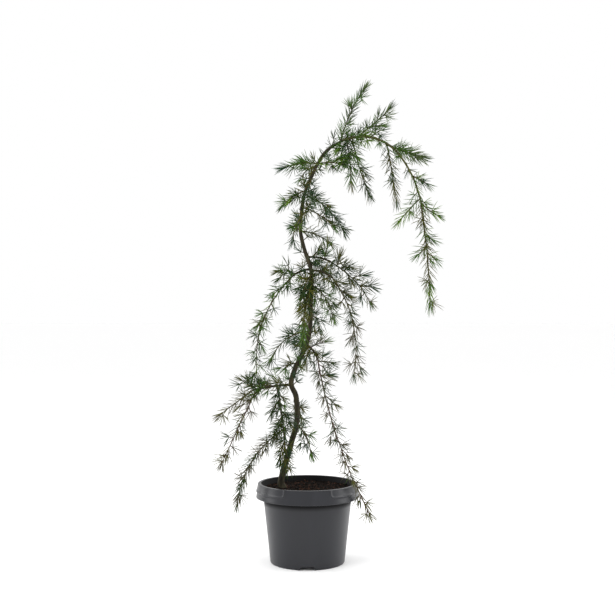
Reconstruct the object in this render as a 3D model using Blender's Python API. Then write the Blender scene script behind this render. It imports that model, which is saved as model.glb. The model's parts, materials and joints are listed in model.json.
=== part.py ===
"""A young weeping deodar cedar in a round nursery pot.

Units are metres and degrees, +Z is up, +X is the plant's right and -Y its front. The origin is the
middle of the pot's flat underside. The trunk stands on the soil, the boughs leave the trunk, and each
mass of needles grows from one stem that leaves a bough or the trunk. Every course is worked out from
its shoot's named sizes by the same rule.
"""

import math
import random
from collections import namedtuple

import bmesh
import bpy
import numpy as np
from mathutils import Matrix, Quaternion, Vector

# ---------------------------------------------------------------- pot, a 3 litre size, 190 mm wide
POT_HEIGHT = 0.146
POT_WALL = 0.0016
POT_FLOOR = 0.002
POT_FOOT_RADIUS = 0.0685
POT_FOOT_ROUND = 0.003
POT_SHOULDER_RADIUS = 0.0815
POT_SEGMENTS = 36
SKIRT_FOOT_RADIUS = 0.095
SKIRT_TOP_RADIUS = 0.0906
SKIRT_FOOT_HEIGHT = 0.120
SKIRT_THICKNESS = 0.002
MOUTH_RADIUS = 0.0847
LIP_ROUND = 0.0012
CHANNEL_COUNT = 3
CHANNEL_HEIGHT = 0.0062
CHANNEL_FOOT_WIDTH = 0.032
CHANNEL_TOP_WIDTH = 0.022
CHANNEL_INNER_END = 0.030
CHANNEL_COVER = 0.0016
DRAIN_HOLE_RADIUS = 0.005
DRAIN_HOLE_CIRCLE = 0.044
DRAIN_HOLE_SIDES = 12

# ---------------------------------------------------------------- soil
SOIL_TOP = 0.136
SOIL_LUMP = 0.0025
SOIL_SEGMENTS = 24
SOIL_RINGS = (0.014, 0.034, 0.054, 0.073)
SOIL_FLAT_RADIUS = 0.036
GAP = 0.0003

# ---------------------------------------------------------------- materials: linear base colour, roughness
PLASTIC = ((0.062, 0.064, 0.070), 0.45)
SOIL = ((0.022, 0.014, 0.010), 0.95)
BARK = ((0.060, 0.050, 0.026), 0.85)
LEAF = ((0.035, 0.075, 0.040), 0.60)
SHARP_ANGLE = 35.0

# ---------------------------------------------------------------- trunk: (height, right, back) of its bends
TRUNK_BENDS = (
    (0.1363, -0.047, 0.000),
    (0.155, -0.048, 0.000),
    (0.216, -0.031, 0.004),
    (0.258, -0.020, 0.006),
    (0.303, -0.021, 0.006),
    (0.327, -0.030, 0.004),
    (0.351, -0.025, 0.002),
    (0.395, -0.005, -0.002),
    (0.428, 0.004, -0.004),
    (0.475, 0.006, -0.004),
    (0.536, 0.007, 0.000),
    (0.582, -0.007, 0.003),
    (0.617, -0.013, 0.005),
    (0.674, -0.007, 0.004),
    (0.713, 0.008, 0.000),
    (0.756, 0.032, -0.004),
    (0.778, 0.065, -0.006),
)
TRUNK_FOOT_RADIUS = 0.0057
TRUNK_TIP_RADIUS = 0.0026
ROOT_FLARE = 0.0034
ROOT_FLARE_HEIGHT = 0.012
TRUNK_SIDES = 8
TRUNK_STATION = 0.019

# ---------------------------------------------------------------- limbs and shoots
END = None
BOUGH_SIDES = 6
BOUGH_STATION = 0.011
STEM_SIDES = 3
STEM_STATION = 0.018
STEM_FOOT_RADIUS = 0.0016
STEM_TIP_RADIUS = 0.0011
STEM_TWIST = 25.0
TWIG_LENGTH = 0.021
TWIG_FIRST_SIZE = 1.15
TWIG_LAST_SIZE = 0.65
TWIG_RISE = 0.0013
TWIG_SPACING = 0.040
TWIG_SPREAD = 0.15
TWIG_ANGLE = 52.0
TWIG_RADIUS = 0.0012
NEEDLE_LENGTH = 0.023
NEEDLE_SHORTEST = 0.85
NEEDLE_LONGEST = 1.10
NEEDLE_WIDTH = 0.0032
NEEDLE_THICKNESS = 0.0009
NEEDLE_SPACING = 0.0072
NEEDLE_ANGLE = 62.0
NEEDLE_ANGLE_SPREAD = 8.0
TIP_NEEDLE_ANGLE = 24.0
TIP_NEEDLES_BACK = 0.003
GOLDEN_ANGLE = 137.508
SAMPLE_STEP = 0.002
EDGE_SAMPLES = 4
NEEDLE_SAMPLES = 4
ROOM_MARGIN = 2.5
LIMB_CLEARANCE = 0.0012
STEM_CLEARANCE = 0.0030
POT_CLEARANCE = 0.004
SEED = 7

# where: height above the floor on the trunk, distance from its foot on a bough, or END for its tip.
# heading: 0 to the right, 90 to the back. reach: how far out its tip is. drop: how far its tip hangs
# below its foot. bow: how far its middle stands out above the straight line. radii: foot and tip.
Bough = namedtuple("Bough", "name parent where heading reach drop bow foot_radius tip_radius")
BOUGHS = (
    Bough("leader_arch", "trunk", END, 353, 0.099, 0.022, 0.016, 0.0025, 0.0020),
    Bough("leader_fall", "leader_arch", END, 350, 0.045, 0.098, 0.007, 0.0019, 0.0014),
    Bough("bough_left", "trunk", 0.541, 164, 0.043, 0.020, 0.005, 0.0021, 0.0016),
    Bough("bough_right", "trunk", 0.538, 345, 0.041, 0.014, 0.005, 0.0020, 0.0016),
    Bough("bough_right_high", "trunk", 0.563, 16, 0.052, 0.012, 0.005, 0.0019, 0.0016),
    Bough("bough_back", "trunk", 0.520, 97, 0.046, 0.010, 0.006, 0.0020, 0.0016),
    Bough("bough_low_right", "trunk", 0.402, 319, 0.028, 0.028, 0.004, 0.0021, 0.0016),
    Bough("bough_low_left", "trunk", 0.327, 196, 0.073, 0.009, 0.002, 0.0024, 0.0016),
    Bough("bough_low_left_inner", "bough_low_left", 0.028, 301, 0.026, 0.082, 0.003, 0.0017, 0.0016),
)

Shoot = namedtuple("Shoot", "name parent where heading reach drop bow")
SHOOTS = (
    Shoot("needles_leader_tip", "leader_fall", END, 348, 0.017, 0.180, 0.002),
    Shoot("needles_top", "trunk", 0.775, 19, 0.047, -0.101, 0.004),
    Shoot("needles_top_right", "leader_arch", 0.028, 345, 0.057, -0.045, -0.001),
    Shoot("needles_top_back", "leader_arch", 0.052, 49, 0.033, -0.017, 0.001),
    Shoot("needles_arch_end", "leader_arch", 0.094, 13, 0.057, 0.017, 0.000),
    Shoot("needles_arch_hanging", "leader_arch", 0.084, 34, 0.022, 0.102, 0.002),
    Shoot("needles_fall_front", "leader_fall", 0.054, 326, 0.027, 0.014, 0.001),
    Shoot("needles_fall_left", "leader_fall", 0.098, 163, 0.036, 0.038, 0.001),
    Shoot("needles_fall_right", "leader_fall", 0.104, 344, 0.029, 0.025, -0.002),
    Shoot("needles_under_arch", "leader_arch", 0.007, 313, 0.012, 0.078, 0.003),
    Shoot("needles_under_arch_right", "leader_arch", 0.018, 28, 0.036, 0.102, -0.003),
    Shoot("needles_high_right", "trunk", 0.735, 336, 0.048, 0.003, 0.003),
    Shoot("needles_high_left", "trunk", 0.736, 190, 0.062, 0.008, 0.003),
    Shoot("needles_high_back", "trunk", 0.728, 114, 0.068, 0.010, 0.006),
    Shoot("needles_upper_left", "trunk", 0.687, 159, 0.042, 0.024, 0.003),
    Shoot("needles_upper_front", "trunk", 0.712, 243, 0.028, 0.078, 0.003),
    Shoot("needles_upper_right", "trunk", 0.680, 8, 0.072, 0.066, 0.010),
    Shoot("needles_upper_right_front", "trunk", 0.655, 331, 0.063, 0.035, 0.005),
    Shoot("needles_middle_right_back", "trunk", 0.612, 20, 0.058, 0.020, 0.004),
    Shoot("needles_middle_left_front", "trunk", 0.622, 241, 0.025, 0.004, 0.002),
    Shoot("needles_middle_back", "trunk", 0.632, 102, 0.072, 0.025, 0.010),
    Shoot("needles_left_hanging", "bough_left", END, 167, 0.060, 0.187, 0.024),
    Shoot("needles_left_up", "bough_left", 0.034, 207, 0.032, -0.007, 0.004),
    Shoot("needles_front_left_short", "trunk", 0.530, 248, 0.037, 0.030, 0.006),
    Shoot("needles_right_hanging", "bough_right", END, 350, 0.039, 0.174, 0.019),
    Shoot("needles_right_high_tip", "bough_right_high", END, 13, 0.069, 0.068, 0.006),
    Shoot("needles_right_high_up", "bough_right_high", 0.034, 297, 0.012, -0.024, 0.001),
    Shoot("needles_front_hanging", "trunk", 0.513, 249, 0.045, 0.102, 0.012),
    Shoot("needles_front_left_hanging", "trunk", 0.506, 223, 0.029, 0.031, 0.008),
    Shoot("needles_front_right_hanging", "trunk", 0.512, 322, 0.049, 0.059, 0.009),
    Shoot("needles_back_hanging", "bough_back", END, 105, 0.045, 0.130, 0.014),
    Shoot("needles_back_right", "trunk", 0.554, 58, 0.088, 0.040, 0.012),
    Shoot("needles_lower_left", "trunk", 0.426, 192, 0.071, 0.049, 0.013),
    Shoot("needles_lower_back", "trunk", 0.398, 117, 0.062, -0.010, 0.008),
    Shoot("needles_lower_left_short", "trunk", 0.366, 205, 0.033, 0.006, 0.002),
    Shoot("needles_lower_right_back", "trunk", 0.452, 75, 0.072, 0.022, 0.010),
    Shoot("needles_low_back", "trunk", 0.288, 84, 0.078, 0.052, 0.014),
    Shoot("needles_low_front", "trunk", 0.252, 302, 0.052, 0.044, 0.010),
    Shoot("needles_low_right_hanging", "bough_low_right", END, 339, 0.098, 0.272, -0.012),
    Shoot("needles_low_right_up", "bough_low_right", 0.012, 24, 0.026, -0.010, 0.001),
    Shoot("needles_low_left_tip", "bough_low_left", END, 188, 0.057, 0.041, 0.000),
    Shoot("needles_low_left_up", "bough_low_left", 0.018, 135, 0.022, -0.014, 0.001),
    Shoot("needles_low_left_up_outer", "bough_low_left", 0.056, 208, 0.039, -0.015, 0.001),
    Shoot("needles_low_left_back", "bough_low_left", 0.044, 110, 0.052, 0.004, 0.004),
    Shoot("needles_low_left_hanging", "bough_low_left", 0.066, 168, 0.066, 0.137, 0.001),
    Shoot("needles_low_inner_tip", "bough_low_left_inner", END, 315, 0.006, 0.068, 0.001),
    Shoot("needles_low_inner_side", "bough_low_left_inner", 0.082, 190, 0.084, 0.130, 0.018),
)

Limb = namedtuple("Limb", "course radii")


# ---------------------------------------------------------------- scene and materials
def clear_scene():
    for obj in list(bpy.data.objects):
        bpy.data.objects.remove(obj, do_unlink=True)


def material(name, look):
    colour, roughness = look
    made = bpy.data.materials.new(name)
    made.use_nodes = True
    shader = made.node_tree.nodes["Principled BSDF"]
    shader.inputs["Base Color"].default_value = (*colour, 1.0)
    shader.inputs["Roughness"].default_value = roughness
    shader.inputs["Metallic"].default_value = 0.0
    return made


def object_from(name, vertices, faces, finish, smooth=False):
    mesh = bpy.data.meshes.new(name)
    mesh.from_pydata([tuple(v) for v in vertices], [], faces)
    mesh.materials.append(finish)
    if smooth:
        mesh.shade_smooth()
        mesh.set_sharp_from_angle(angle=math.radians(SHARP_ANGLE))
    made = bpy.data.objects.new(name, mesh)
    bpy.context.scene.collection.objects.link(made)
    return made


def apply_modifiers(obj):
    """Replaces the object's mesh with its evaluated one."""
    graph = bpy.context.evaluated_depsgraph_get()
    mesh = bpy.data.meshes.new_from_object(obj.evaluated_get(graph))
    obj.modifiers.clear()
    obj.data = mesh
    mesh.name = obj.name


# ---------------------------------------------------------------- courses
def smooth_through(points, step):
    """Points about a step apart on the Catmull-Rom curve through the given ones."""
    padded = [points[0] * 2 - points[1], *points, points[-1] * 2 - points[-2]]
    found = [points[0]]
    for a, b, c, d in zip(padded, padded[1:], padded[2:], padded[3:]):
        count = max(1, round((c - b).length / step))
        slope = c - a
        bend = 2 * a - 5 * b + 4 * c - d
        twist = 3 * b - a - 3 * c + d
        for n in range(1, count + 1):
            t = n / count
            found.append(b + (slope * t + bend * t**2 + twist * t**3) / 2)
    return found


def bowed_course(foot, heading, reach, drop, bow, step):
    """Points from foot to tip on a parabola whose middle stands bow above the straight line."""
    out = Vector((math.cos(math.radians(heading)), math.sin(math.radians(heading)), 0.0))
    chord = out * reach - Vector((0.0, 0.0, drop))
    rise = (out * drop + Vector((0.0, 0.0, reach))).normalized()
    crest = foot + chord / 2 + rise * 2 * bow
    tip = foot + chord
    count = max(2, round(chord.length / step))
    found = []
    for n in range(count + 1):
        t = n / count
        found.append(foot * (1 - t) ** 2 + crest * 2 * t * (1 - t) + tip * t**2)
    return found


def lengths_along(course):
    total = [0.0]
    for a, b in zip(course, course[1:]):
        total.append(total[-1] + (b - a).length)
    return total


def at_length(course, wanted):
    """(point, direction) at this distance from the course's foot."""
    total = 0.0
    for a, b in zip(course, course[1:]):
        step = (b - a).length
        if total + step >= wanted or b is course[-1]:
            return a + (b - a) * min(1.0, (wanted - total) / step), (b - a).normalized()
        total += step


def at_height(course, height):
    """Distance from the course's foot to where it passes this height."""
    total = 0.0
    for a, b in zip(course, course[1:]):
        if b.z >= height:
            return total + (b - a).length * (height - a.z) / (b.z - a.z)
        total += (b - a).length
    return total


def tapered(course, foot_radius, tip_radius):
    along = lengths_along(course)
    return [foot_radius + (tip_radius - foot_radius) * s / along[-1] for s in along]


def frames_along(course, first_direction=None, twist=0.0):
    """(direction, side) at each point of a course, the side turned by twist degrees at each point."""
    found = []
    direction = first_direction or (course[1] - course[0]).normalized()
    side = direction.orthogonal().normalized()
    for n, point in enumerate(course):
        if n == 0:
            ahead = direction
        elif n == len(course) - 1:
            ahead = (point - course[n - 1]).normalized()
        else:
            ahead = (course[n + 1] - course[n - 1]).normalized()
        side = direction.rotation_difference(ahead) @ side
        direction = ahead
        found.append((direction, side))
        side = Quaternion(direction, math.radians(twist)) @ side
    return found


def ring(centre, direction, side, radius, sides):
    turns = [Quaternion(direction, math.tau * n / sides) for n in range(sides)]
    return [centre + (turn @ side) * radius for turn in turns]


def tube(name, course, radii, sides, finish, first_direction=None, twist=0.0):
    """A closed limb with flat ends, one ring of points at each point of its course."""
    vertices = []
    frames = frames_along(course, first_direction, twist)
    for point, radius, (direction, side) in zip(course, radii, frames):
        vertices += ring(point, direction, side, radius, sides)
    faces = [tuple(reversed(range(sides)))]
    for n in range(len(course) - 1):
        low = n * sides
        for k in range(sides):
            after = (k + 1) % sides
            faces.append((low + k, low + after, low + sides + after, low + sides + k))
    faces.append(tuple(range(len(vertices) - sides, len(vertices))))
    return object_from(name, vertices, faces, finish, smooth=True)


# ---------------------------------------------------------------- where a limb leaves its parent
def rim_points(corners):
    """Points spread along the edges of a flat end."""
    found = []
    for a, b in zip(corners, [*corners[1:], corners[0]]):
        found += [a.lerp(b, n / EDGE_SAMPLES) for n in range(EDGE_SAMPLES)]
    return found


def clear_of_parent(course, radius, sides, parent):
    """The course cut back at its foot until its flat end stands GAP clear of the parent's surface."""
    axis = np.array([p[:] for p in finely(parent.course)])
    thick = thickness_along(parent)
    along = lengths_along(course)
    cut = 0.0
    while cut < along[-1] / 2:
        point = at_length(course, cut)[0]
        kept = [point, *[place for reached, place in zip(along, course) if reached > cut + radius]]
        direction = (kept[1] - point).normalized()
        end = rim_points(ring(point, direction, direction.orthogonal().normalized(), radius, sides))
        apart = np.linalg.norm(np.array([p[:] for p in end])[:, None] - axis[None], axis=2) - thick
        if apart.min() >= GAP:
            break
        cut += GAP / 4
    return kept


def thickness_along(limb):
    """A limb's radius at each of the fine points along its course."""
    return np.interp(lengths_along(finely(limb.course)), lengths_along(limb.course), limb.radii)


def finely(course):
    """Points SAMPLE_STEP apart along the straight runs of a course."""
    found = []
    for a, b in zip(course, course[1:]):
        count = max(1, round((b - a).length / SAMPLE_STEP))
        found += [a + (b - a) * n / count for n in range(count)]
    return [*found, course[-1]]


def foot_on(parent, where, is_trunk):
    """(point, direction) on the parent's axis, GAP beyond its flat end where the foot is at END."""
    if where is END:
        direction = (parent.course[-1] - parent.course[-2]).normalized()
        return parent.course[-1] + direction * GAP, direction
    distance = at_height(parent.course, where) if is_trunk else where
    return at_length(parent.course, distance)


def leave(row, limbs, step, radius, sides):
    """(course, first direction) of a bough or of a shoot's stem, clear of the limb that carries it."""
    parent = limbs[row.parent]
    foot, direction = foot_on(parent, row.where, row.parent == "trunk")
    course = bowed_course(foot, row.heading, row.reach, row.drop, row.bow, step)
    if row.where is END:
        return course, direction
    return clear_of_parent(course, radius, sides, parent), None


# ---------------------------------------------------------------- pot and soil
def turned(name, profile, segments, finish):
    """A solid turned about Z from a profile of (radius, height) that starts and ends on the axis."""
    rings = profile[1:-1]
    vertices = [Vector((0.0, 0.0, profile[0][1]))]
    for radius, height in rings:
        for n in range(segments):
            turn = math.tau * n / segments
            vertices.append(Vector((radius * math.cos(turn), radius * math.sin(turn), height)))
    vertices.append(Vector((0.0, 0.0, profile[-1][1])))
    last = len(vertices) - 1
    faces = []
    for n in range(segments):
        after = (n + 1) % segments
        faces.append((0, 1 + after, 1 + n))
        for k in range(len(rings) - 1):
            low = 1 + k * segments
            faces.append((low + n, low + after, low + segments + after, low + segments + n))
        top = last - segments
        faces.append((top + n, top + after, last))
    return object_from(name, vertices, faces, finish, smooth=True)


def wall_radius(height):
    """Outer radius of the pot's wall below its shoulder."""
    return POT_FOOT_RADIUS + (POT_SHOULDER_RADIUS - POT_FOOT_RADIUS) * height / SKIRT_FOOT_HEIGHT


def pot_profile():
    lip_underside = POT_HEIGHT - SKIRT_THICKNESS - LIP_ROUND
    corner = POT_FOOT_ROUND * (1 - math.sqrt(0.5))
    return (
        (0.0, 0.0),
        (wall_radius(0.0) - POT_FOOT_ROUND, 0.0),
        (wall_radius(0.0) - corner, corner),
        (wall_radius(POT_FOOT_ROUND), POT_FOOT_ROUND),
        (POT_SHOULDER_RADIUS, SKIRT_FOOT_HEIGHT),
        (MOUTH_RADIUS + POT_WALL, lip_underside),
        (SKIRT_TOP_RADIUS - SKIRT_THICKNESS, lip_underside),
        (SKIRT_FOOT_RADIUS - SKIRT_THICKNESS, SKIRT_FOOT_HEIGHT),
        (SKIRT_FOOT_RADIUS, SKIRT_FOOT_HEIGHT + LIP_ROUND),
        (SKIRT_TOP_RADIUS, POT_HEIGHT - LIP_ROUND),
        (SKIRT_TOP_RADIUS - LIP_ROUND, POT_HEIGHT),
        (MOUTH_RADIUS + LIP_ROUND, POT_HEIGHT),
        (MOUTH_RADIUS, POT_HEIGHT - LIP_ROUND),
        (POT_SHOULDER_RADIUS - POT_WALL, SKIRT_FOOT_HEIGHT),
        (wall_radius(POT_FLOOR) - POT_WALL - POT_FOOT_ROUND / 2, POT_FLOOR),
        (0.0, POT_FLOOR),
    )


def channel_bar(name, grow, inner_end, outer_end, base, turn, finish):
    """A radial bar of the drain channel's cross-section, grown outward by grow."""
    low = CHANNEL_FOOT_WIDTH / 2 + grow
    high = CHANNEL_TOP_WIDTH / 2 + grow
    top = CHANNEL_HEIGHT + grow
    outline = ((-low, base), (low, base), (high, top), (-high, top))
    vertices = [Vector((inner_end, across, height)) for across, height in outline]
    vertices += [Vector((outer_end, across, height)) for across, height in outline]
    faces = [(3, 2, 1, 0), (4, 5, 6, 7)]
    faces += [(n, (n + 1) % 4, 4 + (n + 1) % 4, 4 + n) for n in range(4)]
    placed = Matrix.Rotation(math.radians(turn), 3, "Z")
    return object_from(name, [placed @ v for v in vertices], faces, finish)


def boolean(obj, other, operation):
    """Joins or cuts obj with other, applies the result and removes other."""
    modifier = obj.modifiers.new(operation, "BOOLEAN")
    modifier.operation = operation
    modifier.object = other
    apply_modifiers(obj)
    bpy.data.objects.remove(other, do_unlink=True)


def channel_turns():
    """Headings of the drain channels, the first at the front."""
    return [270.0 + 360.0 * n / CHANNEL_COUNT for n in range(CHANNEL_COUNT)]


def make_pot(finish):
    pot = turned("pot", pot_profile(), POT_SEGMENTS, finish)
    inside_wall = wall_radius(CHANNEL_HEIGHT) - POT_WALL / 2
    for turn in channel_turns():
        inner = CHANNEL_INNER_END - CHANNEL_COVER
        cover = channel_bar("cover", CHANNEL_COVER, inner, inside_wall, POT_FLOOR / 2, turn, finish)
        boolean(pot, cover, "UNION")
    for turn in channel_turns():
        groove = channel_bar("groove", 0.0, CHANNEL_INNER_END, SKIRT_FOOT_RADIUS, -POT_FLOOR, turn, finish)
        boolean(pot, groove, "DIFFERENCE")
        boolean(pot, drain_hole(turn + 180.0 / CHANNEL_COUNT, finish), "DIFFERENCE")
    pot.data.shade_smooth()
    pot.data.set_sharp_from_angle(angle=math.radians(SHARP_ANGLE))
    return pot


def drain_hole(heading, finish):
    """A round bar through the pot's floor."""
    right = DRAIN_HOLE_CIRCLE * math.cos(math.radians(heading))
    back = DRAIN_HOLE_CIRCLE * math.sin(math.radians(heading))
    low = Vector((right, back, -POT_FLOOR))
    high = Vector((right, back, 2 * POT_FLOOR))
    return tube("hole", [low, high], [DRAIN_HOLE_RADIUS] * 2, DRAIN_HOLE_SIDES, finish)


def make_soil(finish):
    """Potting soil that fills the pot to below its lip, lumpy on top but flat under the trunk."""
    rng = random.Random(SEED)
    shoulder = POT_SHOULDER_RADIUS - POT_WALL - 2 * GAP
    foot = wall_radius(POT_FLOOR) - POT_WALL - POT_FOOT_ROUND / 2 - 3 * GAP
    profile = [(0.0, POT_FLOOR + GAP), (foot, POT_FLOOR + GAP), (shoulder, SKIRT_FOOT_HEIGHT)]
    edge_height = SOIL_TOP - SOIL_LUMP
    share = (edge_height - SKIRT_FOOT_HEIGHT) / (POT_HEIGHT - LIP_ROUND - SKIRT_FOOT_HEIGHT)
    profile.append((shoulder + (MOUTH_RADIUS - 2 * GAP - shoulder) * share, edge_height))
    profile += [(radius, SOIL_TOP) for radius in reversed(SOIL_RINGS)]
    profile.append((0.0, SOIL_TOP))
    soil = turned("soil", profile, SOIL_SEGMENTS, finish)
    trunk_foot = Vector((TRUNK_BENDS[0][1], TRUNK_BENDS[0][2]))
    for vertex in soil.data.vertices:
        apart = (vertex.co.to_2d() - trunk_foot).length
        if vertex.co.z > SOIL_TOP - GAP and apart > SOIL_FLAT_RADIUS:
            vertex.co.z += rng.uniform(-SOIL_LUMP, SOIL_LUMP)
    for turn in channel_turns():
        clear = CHANNEL_COVER + 2 * GAP
        bar = channel_bar("clear", clear, CHANNEL_INNER_END - clear, POT_SHOULDER_RADIUS, 0.0, turn, finish)
        boolean(soil, bar, "DIFFERENCE")
    return soil


# ---------------------------------------------------------------- trunk and boughs
def make_trunk(finish):
    bends = [Vector((right, back, height)) for height, right, back in TRUNK_BENDS]
    course = smooth_through(bends, TRUNK_STATION)
    flare_top = course[0] + (course[1] - course[0]).normalized() * ROOT_FLARE_HEIGHT
    course.insert(1, flare_top)
    radii = tapered(course, TRUNK_FOOT_RADIUS, TRUNK_TIP_RADIUS)
    radii[0] += ROOT_FLARE
    upright = Vector((0.0, 0.0, 1.0))
    tube("trunk", course, radii, TRUNK_SIDES, finish, first_direction=upright)
    return Limb(course, radii)


def make_bough(row, limbs, finish):
    course, direction = leave(row, limbs, BOUGH_STATION, row.foot_radius, BOUGH_SIDES)
    radii = tapered(course, row.foot_radius, row.tip_radius)
    tube(row.name, course, radii, BOUGH_SIDES, finish, first_direction=direction)
    return Limb(course, radii)


# ---------------------------------------------------------------- needles
class Spaces:
    """The room of each mass: the places nearer to its own stem than to any other, clear of limbs and pot."""

    def __init__(self, limbs, stems):
        self.axis = np.array([p[:] for limb in limbs for p in finely(limb.course)])
        self.thick = np.concatenate([thickness_along(limb) for limb in limbs])
        self.stem_points = np.array([p[:] for course in stems for p in finely(course)])
        self.owner = np.array([n for n, course in enumerate(stems) for _ in finely(course)])

    def holds(self, points, own, radius):
        """Whether a twig or needle of this radius along these points keeps to the room of stem own."""
        places = np.array([p[:] for p in points])
        limb_gap = np.linalg.norm(places[:, None] - self.axis[None], axis=2) - self.thick
        if limb_gap.min() < radius + LIMB_CLEARANCE:
            return False
        stem_gap = np.linalg.norm(places[:, None] - self.stem_points[None], axis=2)
        mine = stem_gap[:, self.owner == own].min(axis=1)
        others = stem_gap[:, self.owner != own].min(axis=1)
        if (others < np.maximum(mine + ROOM_MARGIN * radius, STEM_CLEARANCE + radius)).any():
            return False
        low = places[:, 2] < POT_HEIGHT + POT_CLEARANCE
        over_pot = np.hypot(places[:, 0], places[:, 1]) < SKIRT_FOOT_RADIUS + POT_CLEARANCE
        return not (low & over_pot).any()


def leaning(direction, side, around, angle):
    """A direction at this angle to the given one, turned around it from side."""
    outward = Quaternion(direction, math.radians(around)) @ side
    return (direction * math.cos(math.radians(angle)) + outward * math.sin(math.radians(angle))).normalized()


def needle(root, along, ahead, length, finish):
    """A blade that stands for a few needles: its root lies along its twig's axis, its tip is a point."""
    across = along.cross(ahead).normalized() * NEEDLE_THICKNESS / 2
    back = root - along * NEEDLE_WIDTH / 2
    vertices = [back - across, back + across, root + along * NEEDLE_WIDTH / 2, root + ahead * length]
    return object_from("needle", vertices, [(2, 1, 0), (0, 1, 3), (1, 2, 3), (2, 0, 3)], finish)


def needles_on(course, frames, own, spaces, rng, finish):
    """Needles from the middles of a stem's or twig's three sides in turn, with a tuft at its tip.

    The stem's twist winds the rows round it. A needle that would leave the room is skipped.
    """
    made = []
    along = lengths_along(course)
    last = along[-1] - TIP_NEEDLES_BACK
    places = [(distance, NEEDLE_ANGLE) for distance in np.arange(NEEDLE_SPACING, last, NEEDLE_SPACING)]
    places += [(last, TIP_NEEDLE_ANGLE)] * STEM_SIDES
    for count, (distance, angle) in enumerate(places):
        root, direction = at_length(course, distance)
        station = max(n for n, reached in enumerate(along[:-1]) if reached <= distance)
        passed = (distance - along[station]) / (along[station + 1] - along[station])
        side = frames[station][1].lerp(frames[station + 1][1], passed)
        side = (side - direction * side.dot(direction)).normalized()
        turn = 360.0 * (count + 0.5) / STEM_SIDES
        ahead = leaning(direction, side, turn, angle + rng.uniform(-NEEDLE_ANGLE_SPREAD, NEEDLE_ANGLE_SPREAD))
        size = NEEDLE_LENGTH * rng.uniform(NEEDLE_SHORTEST, NEEDLE_LONGEST)
        samples = [root + ahead * size * n / NEEDLE_SAMPLES for n in range(1, NEEDLE_SAMPLES + 1)]
        if spaces.holds(samples, own, NEEDLE_THICKNESS):
            made.append(needle(root, direction, ahead, size, finish))
    return made


def side_twigs(course, own, spaces, rng):
    """Courses of the twigs that leave a stem in a spiral, shorter towards its tip."""
    found = []
    length = lengths_along(course)[-1]
    count = int(length / TWIG_SPACING)
    turn = rng.uniform(0.0, 360.0)
    for n in range(count):
        passed = (n + 0.5 + rng.uniform(-TWIG_SPREAD, TWIG_SPREAD)) / count
        turn += GOLDEN_ANGLE
        root, direction = at_length(course, length * passed)
        ahead = leaning(direction, direction.orthogonal().normalized(), turn, TWIG_ANGLE)
        size = TWIG_LENGTH * (TWIG_FIRST_SIZE + (TWIG_LAST_SIZE - TWIG_FIRST_SIZE) * passed)
        tip = root + ahead * size
        middle = (root + tip) / 2 + Vector((0.0, 0.0, TWIG_RISE))
        if spaces.holds([middle, tip], own, 2 * TWIG_RADIUS):
            found.append([root, middle, tip])
    return found


def make_mass(row, own, stem, direction, spaces, finish):
    """One node: a stem with its twigs and needles fused on."""
    rng = random.Random(SEED * 1000 + own)
    radii = tapered(stem, STEM_FOOT_RADIUS, STEM_TIP_RADIUS)
    mass = tube(row.name, stem, radii, STEM_SIDES, finish, direction, STEM_TWIST)
    parts = needles_on(stem, frames_along(stem, direction, STEM_TWIST), own, spaces, rng, finish)
    for course in side_twigs(stem, own, spaces, rng):
        twig_radii = tapered(course, TWIG_RADIUS, STEM_TIP_RADIUS)
        parts.append(tube("twig", course, twig_radii, STEM_SIDES, finish))
        parts += needles_on(course, frames_along(course), own, spaces, rng, finish)
    joined = bpy.data.collections.new(row.name)
    bpy.context.scene.collection.children.link(joined)
    for part in parts:
        bpy.context.scene.collection.objects.unlink(part)
        joined.objects.link(part)
    modifier = mass.modifiers.new("join", "BOOLEAN")
    modifier.operation = "UNION"
    modifier.operand_type = "COLLECTION"
    modifier.collection = joined
    modifier.solver = "MANIFOLD"
    apply_modifiers(mass)
    keep_main_shell(mass)
    for part in parts:
        bpy.data.objects.remove(part, do_unlink=True)
    bpy.data.collections.remove(joined)


def shell_volume(faces):
    """Signed volume of a closed group of triangles, below zero for the wall of a sealed hollow."""
    corners = [[v.co for v in face.verts] for face in faces]
    return sum(a.dot(b.cross(c)) for a, b, c in corners) / 6.0


def keep_main_shell(obj):
    """Fills the hollows that fusing sealed and drops loose scraps: only the largest shell stays."""
    shape = bmesh.new()
    shape.from_mesh(obj.data)
    bmesh.ops.triangulate(shape, faces=shape.faces)
    left = set(shape.faces)
    shells = []
    while left:
        waiting = [left.pop()]
        shell = list(waiting)
        while waiting:
            face = waiting.pop()
            beyond = {other for edge in face.edges for other in edge.link_faces} & left
            left -= beyond
            shell += beyond
            waiting += beyond
        shells.append(shell)
    shells.sort(key=shell_volume)
    spare = [face for shell in shells[:-1] for face in shell]
    bmesh.ops.delete(shape, geom=spare, context="FACES")
    shape.to_mesh(obj.data)
    shape.free()


# ---------------------------------------------------------------- the whole plant
def main():
    clear_scene()
    bark = material("bark", BARK)
    leaf = material("needles", LEAF)
    make_pot(material("pot_plastic", PLASTIC))
    make_soil(material("soil", SOIL))
    limbs = {"trunk": make_trunk(bark)}
    for row in BOUGHS:
        limbs[row.name] = make_bough(row, limbs, bark)
    stems = [leave(row, limbs, STEM_STATION, STEM_FOOT_RADIUS, STEM_SIDES) for row in SHOOTS]
    spaces = Spaces(list(limbs.values()), [course for course, _ in stems])
    for own, (row, (course, direction)) in enumerate(zip(SHOOTS, stems)):
        make_mass(row, own, course, direction, spaces, leaf)


main()
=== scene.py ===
"""Looks of the potted weeping deodar cedar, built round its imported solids.

Units are metres and degrees, +Z is up, +X is the plant's right and -Y its front. Trunk, boughs and shoots
follow the courses that the solids have, and carry finer twigs, whorls and single needles by the same rule.
"""

import itertools
import json
import math
import random
from collections import namedtuple

import bmesh
import bpy
from mathutils import Matrix, Quaternion, Vector, kdtree, noise

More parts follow.
